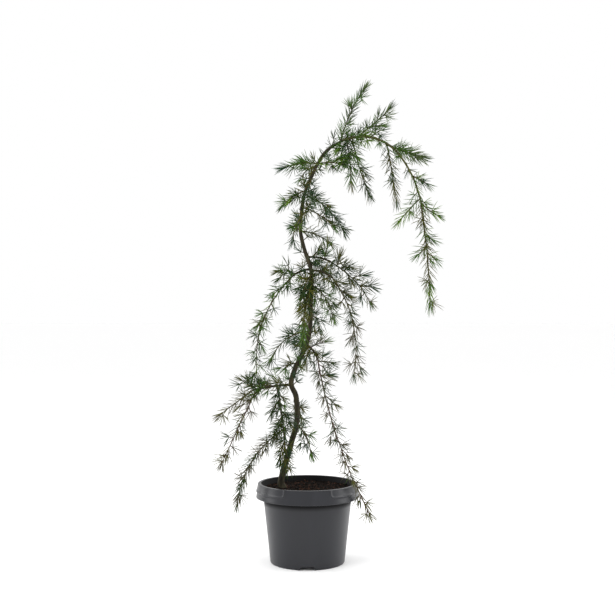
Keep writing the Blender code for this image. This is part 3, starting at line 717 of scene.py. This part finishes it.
class Line:
    """A course with its directions, for placing what grows along it."""

    def __init__(self, course):
        self.course = course
        self.along = lengths_along(course)
        self.length = self.along[-1]
        self.frames = []
        direction = (course[1] - course[0]).normalized()
        side = direction.orthogonal().normalized()
        for n, point in enumerate(course):
            before = course[max(n - 1, 0)]
            after = course[min(n + 1, len(course) - 1)]
            ahead = (after - before).normalized()
            side = direction.rotation_difference(ahead) @ side
            direction = ahead
            self.frames.append((direction, side))

    def at(self, distance):
        """(point, direction, side) at this distance from the foot."""
        n = 0
        while n < len(self.along) - 2 and self.along[n + 1] < distance:
            n += 1
        share = (distance - self.along[n]) / (self.along[n + 1] - self.along[n])
        point = self.course[n].lerp(self.course[n + 1], share)
        direction = self.frames[n][0].lerp(self.frames[n + 1][0], share).normalized()
        return point, direction, self.frames[n][1]

    def nearest(self, distance):
        """Number of the course's point nearest to this distance from the foot."""
        return min(range(len(self.along)), key=lambda n: abs(self.along[n] - distance))


def leaning(direction, side, around, angle):
    """A direction at this angle to the given one, turned around it from side."""
    outward = Quaternion(direction, math.radians(around)) @ side
    return (direction * math.cos(math.radians(angle)) + outward * math.sin(math.radians(angle))).normalized()


def wandering(course, amount, key):
    """The course with small smooth strays that grow from nothing at its foot."""
    found = []
    for n, point in enumerate(course):
        share = n / (len(course) - 1)
        stray = noise.noise_vector(point * STEM_WANDER_SCALE + Vector((key, 0.0, 0.0)))
        found.append(point + stray * amount * share)
    return found


# ---------------------------------------------------------------- bark
def relief(point, around, radius):
    """The share by which bark stands out here: long furrows and fine roughness."""
    place = (around * FURROWS_ROUND, point.z * BARK_SCALE * BARK_STRETCH, radius * FURROW_DRIFT)
    grain = noise.noise(point * BARK_SCALE * GRAIN_FINER)
    return BARK_RELIEF * (FURROW_SHARE * noise.noise(Vector(place)) + GRAIN_SHARE * grain)


def bark_tube(line, radii, sides, knots, flared=False):
    """(vertices, faces) of a limb with bark relief. knots lists (distance, turn) of raised leaf scars."""
    vertices = []
    for n, (point, radius) in enumerate(zip(line.course, radii)):
        near = [(line.along[n] - distance, turn) for distance, turn in knots]
        near = [(apart, turn) for apart, turn in near if abs(apart) < 3 * KNOT_REACH]
        for turn, outward in zip(turns(sides), spokes(*line.frames[n], sides)):
            size = radius * (1.0 + relief(point + outward * radius, math.sin(turn), radius))
            for apart, knot_turn in near:
                round_apart = math.remainder(turn - knot_turn, math.tau) * radius
                size += KNOT_RISE * math.exp(-((apart**2 + round_apart**2) / KNOT_REACH**2))
            if flared:
                spread = math.exp(-line.along[n] / ROOT_FLARE_HEIGHT)
                ridges = math.sin(ROOT_RIDGES * turn + ROOT_RIDGE_TURN)
                size += ROOT_FLARE * spread * (1.0 + ROOT_RIDGE_SHARE * ridges)
            vertices.append(point + outward * size)
    faces = ring_faces(len(line.course), sides)
    faces.append(tuple(reversed(range(sides))))
    faces.append(tuple(range(len(vertices) - sides, len(vertices))))
    return vertices, faces


def knots_on(line, rng):
    turn = rng.uniform(0.0, math.tau)
    found = []
    distance = KNOT_SPACING
    while distance < line.length:
        turn += math.radians(GOLDEN_ANGLE)
        found.append((distance, turn % math.tau))
        distance += KNOT_SPACING * rng.uniform(*KNOT_SPREAD)
    return found


def make_trunk(finish):
    bends = [Vector((right, back, height)) for height, right, back in TRUNK_BENDS]
    line = Line(smooth_through(bends, TRUNK_STATION))
    radii = tapered(line.course, TRUNK_FOOT_RADIUS, TRUNK_TIP_RADIUS)
    pile = Pile()
    pile.add(*bark_tube(line, radii, TRUNK_SIDES, knots_on(line, random.Random(f"{SEED} trunk")), True))
    pile.piece("trunk_bark", finish, "bark", ["trunk"])
    return Limb(line, radii)


def foot_of(row, limbs):
    """The point on its parent's course where a limb or shoot starts."""
    parent = limbs[row.parent].line
    if row.where is END:
        return parent.course[-1]
    distance = row.where / 1000
    if row.parent == "trunk":
        distance = at_height(parent.course, distance)
    return parent.at(distance)[0]


def make_bough(row, limbs, finish):
    line = Line(bowed_course(foot_of(row, limbs), row, BOUGH_STATION))
    radii = tapered(line.course, row.foot_radius / 1000, row.tip_radius / 1000)
    if row.where is not END:
        radii = [r * (1 + COLLAR_SWELL * math.exp(-s / COLLAR_REACH)) for r, s in zip(radii, line.along)]
    pile = Pile()
    pile.add(*bark_tube(line, radii, BOUGH_SIDES, knots_on(line, random.Random(f"{SEED} {row.name}"))))
    pile.piece(row.name + "_bark", finish, "bark", [row.name])
    return Limb(line, radii)


# ---------------------------------------------------------------- twigs and needles
class Foliage:
    """Gathers twigs by bark colour and needles by tint, and keeps needles clear of limbs and pot."""

    def __init__(self, limbs):
        self.twigs = {"olive": Pile(), "russet": Pile()}
        self.needles = {tint: Pile() for tint in NEEDLE_TINTS}
        points = [(p, r) for limb in limbs for p, r in zip(limb.line.course, limb.radii)]
        self.radii = [radius for _, radius in points]
        self.tree = kdtree.KDTree(len(points))
        for n, (point, _) in enumerate(points):
            self.tree.insert(point, n)
        self.tree.balance()

    def blocked(self, point):
        _, n, apart = self.tree.find(point)
        in_pot = point.z < POT_HEIGHT and math.hypot(point.x, point.y) < SKIRT_FOOT_RADIUS
        low, high = CAD_BOX
        outside = any(point[k] < low[k] or point[k] > high[k] for k in range(3))
        return apart < self.radii[n] or in_pot or outside

    def needle(self, tint, root, ahead, towards, length):
        """A needle that bends towards the tip of what carries it, shorter where it would strike."""
        for share in NEEDLE_SHARES:
            size = length * share
            bend = towards * NEEDLE_BEND * size
            samples = [n / NEEDLE_SAMPLES for n in range(1, NEEDLE_SAMPLES + 1)]
            if not any(self.blocked(root + ahead * size * t + bend * t**2) for t in samples):
                self.grown(tint, root, ahead, bend, size)
                return

    def grown(self, tint, root, ahead, bend, length):
        """Adds a three-sided needle that tapers to its tip."""
        across = ahead.orthogonal().normalized()
        over = ahead.cross(across)
        third = math.sqrt(0.75)
        corners = (across, over * third - across / 2, -over * third - across / 2)
        vertices = []
        for share, wide in NEEDLE_STATIONS:
            centre = root + ahead * length * share + bend * share**2
            vertices += [centre + corner * (wide * NEEDLE_WIDTH / 2) for corner in corners]
        tip = len(vertices)
        vertices.append(root + ahead * length + bend)
        self.needles[tint].add(vertices, ring_faces(len(NEEDLE_STATIONS), 3) + tip_faces(tip, 3))

    def twig(self, bark, line, radii):
        """A thin stem, slightly uneven, with a bud at its tip."""
        vertices = []
        for point, radius, axes in zip(line.course, radii, line.frames):
            for outward in spokes(*axes, STEM_SIDES):
                uneven = 1.0 + STEM_RELIEF * noise.noise((point + outward * radius) * STEM_GRAIN)
                vertices.append(point + outward * radius * uneven)
        direction, side = line.frames[-1]
        round_bud = spokes(direction, side, STEM_SIDES)
        for share, wide in BUD_RINGS:
            centre = line.course[-1] + direction * BUD_LENGTH * share
            vertices += [centre + outward * BUD_RADIUS * wide for outward in round_bud]
        tip = len(vertices)
        vertices.append(line.course[-1] + direction * BUD_LENGTH)
        faces = ring_faces(tip // STEM_SIDES, STEM_SIDES) + tip_faces(tip, STEM_SIDES)
        self.twigs[bark].add(vertices, faces)

    def single_needles(self, line, size, spacing, shares, rng, start=0.0, end=None):
        """Needles one by one in a spiral, closer to the stem's line towards its tip."""
        end = end or line.length
        turn = rng.uniform(0.0, 360.0)
        distance = start + spacing * rng.random()
        spray_end = 0.0
        while distance < end:
            if distance > spray_end:
                tint = drawn(shares, rng)
                spray_end = distance + SPRAY_LENGTH * rng.uniform(*SPRAY_SPREAD)
            share = distance / line.length
            turn += GOLDEN_ANGLE
            point, direction, side = line.at(distance)
            angle = NEEDLE_FOOT_ANGLE + (NEEDLE_TIP_ANGLE - NEEDLE_FOOT_ANGLE) * share**2
            angle += rng.uniform(-NEEDLE_ANGLE_SPREAD, NEEDLE_ANGLE_SPREAD)
            ahead = leaning(direction, side, turn, angle)
            length = size * rng.uniform(*NEEDLE_SIZES) * (1.0 - NEEDLE_TIP_LOSS * share)
            self.needle(tint, point, ahead, direction, length)
            distance += spacing * rng.uniform(*SPACING_SPREAD)

    def tuft(self, line, size, shares, rng):
        """The brush of needles round a stem's tip."""
        point, direction, side = line.at(line.length)
        tint = drawn(shares, rng)
        turn = rng.uniform(0.0, 360.0)
        for _ in range(TUFT_NEEDLES):
            turn += GOLDEN_ANGLE
            ahead = leaning(direction, side, turn, rng.uniform(*TUFT_SPREAD) * TUFT_ANGLE)
            self.needle(tint, point, ahead, direction, size * rng.uniform(*TUFT_SIZE))

    def stars(self, line, radii, size, spacing, spur, shares, bark, rng, start=0.0, end=None):
        """Spurs in a spiral along a stem or limb, each with a star of needles."""
        end = end or line.length
        turn = rng.uniform(0.0, 360.0)
        distance = start + spacing * rng.uniform(*STAR_START)
        while distance < end:
            turn += GOLDEN_ANGLE
            point, direction, side = line.at(distance)
            radius = radii[line.nearest(distance)]
            lean = STAR_LEAN + rng.uniform(-STAR_LEAN_SPREAD, STAR_LEAN_SPREAD)
            out = leaning(direction, side, turn, lean)
            crown = point + out * (radius + rng.uniform(*spur))
            if not self.blocked(crown):
                course = [point.lerp(crown, n / SPUR_STEPS) for n in range(SPUR_STEPS + 1)]
                self.twig(bark, Line(course), [STAR_SPUR_RADIUS] * len(course))
                self.star(crown, out, direction, size * STAR_SIZE, shares, rng)
            distance += spacing * rng.uniform(*SPACING_SPREAD)

    def star(self, crown, out, towards, size, shares, rng):
        tint = drawn(shares, rng)
        side = out.orthogonal().normalized()
        turn = rng.uniform(0.0, 360.0)
        for _ in range(rng.randint(*STAR_NEEDLES)):
            turn += GOLDEN_ANGLE
            ahead = leaning(out, side, turn, rng.uniform(*STAR_SPREAD))
            self.needle(tint, crown, ahead, towards, size * rng.uniform(*STAR_SIZES))

    def side_twigs(self, line, habit, rng):
        """Courses of the twigs that leave a stem in a spiral, shorter towards its tip and drooping."""
        found = []
        count = int(line.length / habit.twig_spacing)
        turn = rng.uniform(0.0, 360.0)
        for n in range(count):
            share = (n + rng.uniform(*TWIG_SCATTER)) / count
            turn += GOLDEN_ANGLE
            root, direction, side = line.at(line.length * share)
            ahead = leaning(direction, side, turn, TWIG_ANGLE)
            shortened = 1.0 + (TWIG_SHORTEST_SHARE - 1.0) * share
            size = habit.twig_longest * shortened * rng.uniform(*TWIG_SIZES)
            steps = [n / TWIG_STEPS for n in range(TWIG_STEPS + 1)]
            sag = UP * (-TWIG_DROOP * size)
            course = [root + ahead * size * t + sag * t**2 for t in steps]
            if not any(self.blocked(point) for point in course[2:]):
                found.append(Line(course))
        return found

    def shoot(self, row, limb):
        """One shoot: its stem, side twigs, stars and single needles."""
        rng = random.Random(f"{SEED} {row.name}")
        shares = TINT_SHARES[row.tint]
        habit = Habit(*HABITS[row.habit])
        bark = "russet" if row.name in RUSSET_SHOOTS else "olive"
        line, radii = limb
        self.twig(bark, line, radii)
        size = habit.needle_length
        self.single_needles(line, size, habit.needle_spacing, shares, rng)
        self.tuft(line, size, shares, rng)
        self.stars(line, radii, size, habit.star_spacing, habit.spur, shares, bark, rng)
        for twig in self.side_twigs(line, habit, rng):
            self.twig(bark, twig, tapered(twig.course, TWIG_RADIUS, TWIG_TIP_RADIUS))
            self.single_needles(twig, size, TWIG_NEEDLE_SPACING, shares, rng)
            self.tuft(twig, size, shares, rng)

    def clothe(self, row, limb):
        """Stars and single needles straight on a limb."""
        rng = random.Random(f"{SEED} {row.limb} {row.start}")
        shares = TINT_SHARES[row.tint]
        spur = Habit(*HABITS["thick"]).spur
        line, radii = limb
        end = min(row.end, line.length)
        size = LIMB_NEEDLE_LENGTH
        self.stars(line, radii, size, row.star_spacing, spur, shares, "olive", rng, row.start, end)
        self.single_needles(line, size, row.needle_spacing, shares, rng, row.start, end)

    def pieces(self):
        """Makes a piece of each pile. Together they stand for all the masses in the solids."""
        masses = [row[0] for row in SHOOT_ROWS]
        for colour, pile in self.twigs.items():
            pile.piece("twigs_" + colour, bark_finish("twig_" + colour), "bark", masses)
        for tint, pile in self.needles.items():
            pile.piece("needle_sprays_" + tint, needle_finish(tint), "needles", masses)


def drawn(shares, rng):
    return rng.choices(list(shares), list(shares.values()))[0]


def make_plant():
    noise.seed_set(STRAY_SEED)  # noise_vector would otherwise start from the clock
    bark = bark_finish("bark")
    limbs = {"trunk": make_trunk(bark)}
    young_bark = bark_finish("young_bark")
    for row in [Bough(*row) for row in BOUGH_ROWS]:
        limbs[row.name] = make_bough(row, limbs, young_bark if row.name.startswith("leader") else bark)
    foliage = Foliage(list(limbs.values()))
    for row in [Clothing(*row) for row in CLOTHING_ROWS]:
        foliage.clothe(row, limbs[row.limb])
    for n, row in enumerate([Shoot(*row) for row in SHOOT_ROWS + SPRIG_ROWS]):
        course = bowed_course(foot_of(row, limbs), row, STEM_STATION)
        line = Line(wandering(course, STEM_WANDER, float(n)))
        stout = LEADER_STEM_SHARE if row.name == "needles_leader_tip" else 1.0
        radii = tapered(line.course, STEM_FOOT_RADIUS * stout, STEM_TIP_RADIUS * stout)
        limbs[row.name] = Limb(line, radii)
        foliage.shoot(row, limbs[row.name])
    foliage.pieces()


# ---------------------------------------------------------------- pot and soil
def wall_radius(height):
    """Outer radius of the pot's wall below its shoulder."""
    return FOOT_RADIUS + (SHOULDER_RADIUS - FOOT_RADIUS) * height / SKIRT_FOOT_HEIGHT


def on_circle(radius, turn):
    """(right, back) at this radius from the pot's axis, turn in radians."""
    return radius * math.cos(turn), radius * math.sin(turn)


def arc(centre, radius, start, end, steps):
    """Points of (radius, height) round a corner, between two angles in degrees."""
    found = []
    for n in range(steps + 1):
        turn = math.radians(start + (end - start) * n / steps)
        found.append((centre[0] + radius * math.cos(turn), centre[1] + radius * math.sin(turn)))
    return found


def run(low, high, step):
    """Points of (radius, height) from low towards high, a step apart, without high."""
    count = max(1, round(math.dist(low, high) / step))
    return [tuple(a + (b - a) * n / count for a, b in zip(low, high)) for n in range(count)]


def pot_profile():
    """The pot's whole section, from the middle of its underside round to the middle of its inside floor."""
    foot_in = (wall_radius(FOOT_ROUND) - FOOT_ROUND, FOOT_ROUND)
    under = POT_HEIGHT - SKIRT_THICKNESS - LIP_ROUND
    skirt_foot = (SKIRT_FOOT_RADIUS - LIP_ROUND, SKIRT_FOOT_HEIGHT + LIP_ROUND)
    top_out = (SKIRT_TOP_RADIUS - LIP_ROUND, POT_HEIGHT - LIP_ROUND)
    top_in = (MOUTH_RADIUS + LIP_ROUND, POT_HEIGHT - LIP_ROUND)
    floor_corner = (wall_radius(POT_FLOOR) - POT_WALL - FOOT_ROUND, POT_FLOOR + FOOT_ROUND)
    profile = run((0.0, 0.0), (foot_in[0], 0.0), UNDERSIDE_STATION)
    profile += arc(foot_in, FOOT_ROUND, -90.0, -WALL_LEAN, FOOT_STEPS)
    profile += run(profile[-1], (SHOULDER_RADIUS, SKIRT_FOOT_HEIGHT), WALL_STATION)[1:]
    profile += run((SHOULDER_RADIUS, SKIRT_FOOT_HEIGHT), (MOUTH_RADIUS + POT_WALL, under), WALL_STATION)
    profile += [(MOUTH_RADIUS + POT_WALL, under), (SKIRT_TOP_RADIUS - SKIRT_THICKNESS, under)]
    profile.append((SKIRT_FOOT_RADIUS - SKIRT_THICKNESS, SKIRT_FOOT_HEIGHT + LIP_ROUND))
    profile += arc(skirt_foot, LIP_ROUND, -90.0, SKIRT_LEAN, LIP_STEPS)
    profile += run(profile[-1], (SKIRT_TOP_RADIUS, POT_HEIGHT - LIP_ROUND), SKIRT_STATION)[1:]
    profile += arc(top_out, LIP_ROUND, SKIRT_LEAN, 90.0, LIP_STEPS)
    profile += arc(top_in, LIP_ROUND, 90.0, 180.0, LIP_STEPS)
    profile += run(profile[-1], (SHOULDER_RADIUS - POT_WALL, SKIRT_FOOT_HEIGHT), WALL_STATION)[1:]
    profile += run((SHOULDER_RADIUS - POT_WALL, SKIRT_FOOT_HEIGHT), floor_corner, WALL_STATION)
    profile += arc(floor_corner, FOOT_ROUND, 0.0, -90.0, INNER_FOOT_STEPS)
    profile.append((0.0, POT_FLOOR))
    return profile


def smoothstep(value):
    held = min(1.0, max(0.0, value))
    return held * held * (3.0 - 2.0 * held)


def band_rise(turn, height):
    """How far the beaded band stands out here. The panel at the front is left out of it."""
    from_front = abs(math.remainder(turn - math.radians(FRONT), math.tau)) * SKIRT_TOP_RADIUS
    past_end = from_front - math.radians(PANEL_HALF_ANGLE) * SKIRT_TOP_RADIUS
    above_foot = height - BAND_FOOT_HEIGHT
    inside = min(past_end, above_foot)
    if past_end < BAND_CORNER and above_foot < BAND_CORNER:
        inside = BAND_CORNER - math.hypot(BAND_CORNER - past_end, BAND_CORNER - above_foot)
    bead = BEAD_PROUD * math.exp(-(((inside - BEAD_WIDTH) / BEAD_WIDTH) ** 2))
    return BAND_PROUD * smoothstep(inside / BAND_EDGE + 0.5) + bead


def is_skirt_face(radius, height):
    slope = (SKIRT_TOP_RADIUS - SKIRT_FOOT_RADIUS) / (POT_HEIGHT - LIP_ROUND - SKIRT_FOOT_HEIGHT)
    face = SKIRT_FOOT_RADIUS + slope * (height - SKIRT_FOOT_HEIGHT)
    return radius > face - LIP_ROUND and height > SKIRT_FOOT_HEIGHT


def combine(obj, other, operation):
    """Joins obj with other, a (vertices, faces), or cuts it, and keeps the result as its mesh."""
    other = faceted("tool", *other)
    modifier = obj.modifiers.new(operation, "BOOLEAN")
    modifier.operation = operation
    modifier.object = other
    graph = bpy.context.evaluated_depsgraph_get()
    obj.data = bpy.data.meshes.new_from_object(obj.evaluated_get(graph))
    obj.modifiers.clear()
    bpy.data.objects.remove(other)


def channel_bar(grow, inner_end, outer_end, base, turn):
    """(vertices, faces) of a radial bar with the drain channel's section, larger by grow."""
    low = CHANNEL_FOOT_WIDTH / 2 + grow
    high = CHANNEL_TOP_WIDTH / 2 + grow
    top = CHANNEL_HEIGHT + grow
    outline = ((-low, base), (low, base), (high, top), (-high, top))
    turned = Matrix.Rotation(math.radians(turn), 3, "Z")
    vertices = [turned @ Vector((end, *corner)) for end in (inner_end, outer_end) for corner in outline]
    faces = [(3, 2, 1, 0), (4, 5, 6, 7)]
    faces += [(n, (n + 1) % 4, 4 + (n + 1) % 4, 4 + n) for n in range(4)]
    return vertices, faces


def drain_bar(turn):
    """(vertices, faces) of a round bar through the pot's floor."""
    sides = DRAIN_HOLE_SIDES
    middle = Matrix.Rotation(math.radians(turn), 3, "Z") @ Vector((DRAIN_HOLE_CIRCLE, 0.0, 0.0))
    vertices = []
    for height in (-POT_FLOOR, 2 * POT_FLOOR):
        for around in turns(sides):
            spoke = Vector((*on_circle(1.0, around), 0.0)) * DRAIN_HOLE_RADIUS
            vertices.append(middle + spoke + UP * height)
    faces = [tuple(reversed(range(sides))), *ring_faces(2, sides), tuple(range(sides, 2 * sides))]
    return vertices, faces


def pot_ring(radius, height):
    """Points round the pot at one place of its section, or its one point on the axis."""
    if radius == 0.0:
        return [(0.0, 0.0, height)]
    on_skirt = is_skirt_face(radius, height)
    found = []
    for turn in turns(POT_SEGMENTS):
        out = radius + (band_rise(turn, height) if on_skirt else 0.0)
        found.append((*on_circle(out, turn), height))
    return found


def make_pot():
    shape = bmesh.new()
    rings = [[shape.verts.new(point) for point in pot_ring(*place)] for place in pot_profile()]
    for low, high in zip(rings, rings[1:]):
        for n in range(POT_SEGMENTS):
            after = (n + 1) % POT_SEGMENTS
            if len(low) == 1:
                shape.faces.new((low[0], high[after], high[n]))
            elif len(high) == 1:
                shape.faces.new((low[n], low[after], high[0]))
            else:
                shape.faces.new((low[n], low[after], high[after], high[n]))
    mesh = bpy.data.meshes.new("pot_moulded")
    shape.to_mesh(mesh)
    shape.free()
    pot = placed("pot_moulded", mesh)
    cover_start = CHANNEL_INNER_END - CHANNEL_COVER
    cover_end = wall_radius(POT_FLOOR) - POT_WALL / 2
    for n in range(CHANNEL_COUNT):
        turn = FRONT + 360.0 * n / CHANNEL_COUNT
        combine(pot, channel_bar(CHANNEL_COVER, cover_start, cover_end, POT_FLOOR / 2, turn), "UNION")
        combine(pot, channel_bar(0.0, CHANNEL_INNER_END, SKIRT_FOOT_RADIUS, -POT_FLOOR, turn), "DIFFERENCE")
        combine(pot, drain_bar(turn + 180.0 / CHANNEL_COUNT), "DIFFERENCE")
    pot.data.shade_smooth()
    pot.data.set_sharp_from_angle(angle=math.radians(SHARP_ANGLE))
    dressed(pot, pot_finish(), ["pot"])


def soil_height(right, back):
    """Height of the soil's lumpy top here, mounded a little round the trunk's foot."""
    place = Vector((right, back, 0.0))
    lumps = SOIL_LUMP_SHARE * noise.fractal(place * SOIL_LUMP_SCALE, 1.0, 2.0, 4)
    crumbs = SOIL_CRUMB_SHARE * noise.noise(place * SOIL_CRUMB_SCALE)
    foot = Vector((TRUNK_BENDS[0][1], TRUNK_BENDS[0][2], 0.0))
    mound = SOIL_MOUND * math.exp(-(((place - foot).length / SOIL_MOUND_REACH) ** 2))
    return SOIL_TOP + SOIL_LUMP * (lumps + crumbs) + mound


def make_soil():
    vertices = [(0.0, 0.0, soil_height(0.0, 0.0))]
    for n in range(1, SOIL_RINGS + 1):
        for turn in turns(SOIL_SEGMENTS):
            place = on_circle(SOIL_RADIUS * n / SOIL_RINGS, turn)
            vertices.append((*place, soil_height(*place)))
    faces = [(0, 1 + k, 1 + (k + 1) % SOIL_SEGMENTS) for k in range(SOIL_SEGMENTS)]
    faces += [(1 + d, 1 + c, 1 + b, 1 + a) for a, b, c, d in ring_faces(SOIL_RINGS, SOIL_SEGMENTS)]
    pile = Pile()
    pile.add(vertices, faces)
    pile.piece("soil_surface", soil_finish(), "soil", ["soil"])


def chip(rng, centre, size):
    """(vertices, faces) of one crumb of bark: a box squashed and twisted at random."""
    axis = Vector([rng.uniform(-1, 1) for _ in range(3)]).normalized()
    turn = Quaternion(axis, rng.uniform(0, math.tau))
    half = Vector((size / 2, size * rng.uniform(*CHIP_WIDTH), size * rng.uniform(*CHIP_THICKNESS)))
    vertices = []
    for signs in itertools.product((-1, 1), repeat=3):
        corner = Vector(signs) * half * rng.uniform(*CHIP_CORNER)
        vertices.append(centre + turn @ corner)
    faces = [(0, 1, 3, 2), (4, 6, 7, 5), (0, 4, 5, 1), (2, 3, 7, 6), (0, 2, 6, 4), (1, 5, 7, 3)]
    return vertices, faces


def make_chips():
    """Loose crumbs of bark scattered over the soil."""
    rng = random.Random(SEED)
    piles = {tint: Pile() for tint in CHIP_TINTS}
    for _ in range(CHIP_COUNT):
        spot = (SOIL_RADIUS - CHIP_LARGEST / 2) * math.sqrt(rng.random())
        place = on_circle(spot, rng.uniform(0.0, math.tau))
        size = CHIP_SMALLEST + (CHIP_LARGEST - CHIP_SMALLEST) * rng.random() ** 2
        tint = rng.choices(list(CHIP_TINTS), CHIP_SHARES)[0]
        centre = Vector((*place, soil_height(*place) + size * CHIP_LIFT))
        piles[tint].add(*chip(rng, centre, size))
    for tint, pile in piles.items():
        pile.piece("soil_chips_" + tint, chip_finish(tint), "soil", None, smooth=False)


# ---------------------------------------------------------------- studio
def make_floor():
    corners = [(x * FLOOR_HALF, y * FLOOR_HALF, 0.0) for x, y in ((-1, -1), (1, -1), (1, 1), (-1, 1))]
    floor = faceted("floor", corners, [(0, 1, 2, 3)])
    floor.data.materials.append(floor_finish())


def make_light(name, place, aim, width, height, watts):
    light = bpy.data.lights.new(name, "AREA")
    light.shape = "RECTANGLE"
    light.size = width
    light.size_y = height
    light.energy = watts
    made = placed(name, light)
    made.location = place
    made.rotation_euler = (Vector(aim) - Vector(place)).to_track_quat("-Z", "Y").to_euler()
    made.visible_camera = False


def make_studio():
    world = bpy.data.worlds.new("studio")
    world.use_nodes = True
    background = world.node_tree.nodes["Background"]
    background.inputs["Color"].default_value = (*WHITE, 1.0)
    background.inputs["Strength"].default_value = 1.0
    bpy.context.scene.world = world
    for light in LIGHTS:
        make_light(*light)
    bpy.context.scene.view_settings.view_transform = "Standard"


def make_camera():
    camera = bpy.data.cameras.new("camera")
    camera.sensor_width = SENSOR_WIDTH_MM
    camera.lens = FOCAL_LENGTH_PX / IMAGE_WIDTH_PX * SENSOR_WIDTH_MM
    made = placed("camera", camera)
    made.location = (0.0, -CAMERA_DISTANCE, CAMERA_HEIGHT)
    made.rotation_euler = (math.radians(90.0), 0.0, 0.0)
    bpy.context.scene.camera = made


make_camera()
make_studio()
make_floor()
make_pot()
make_soil()
make_chips()
make_plant()
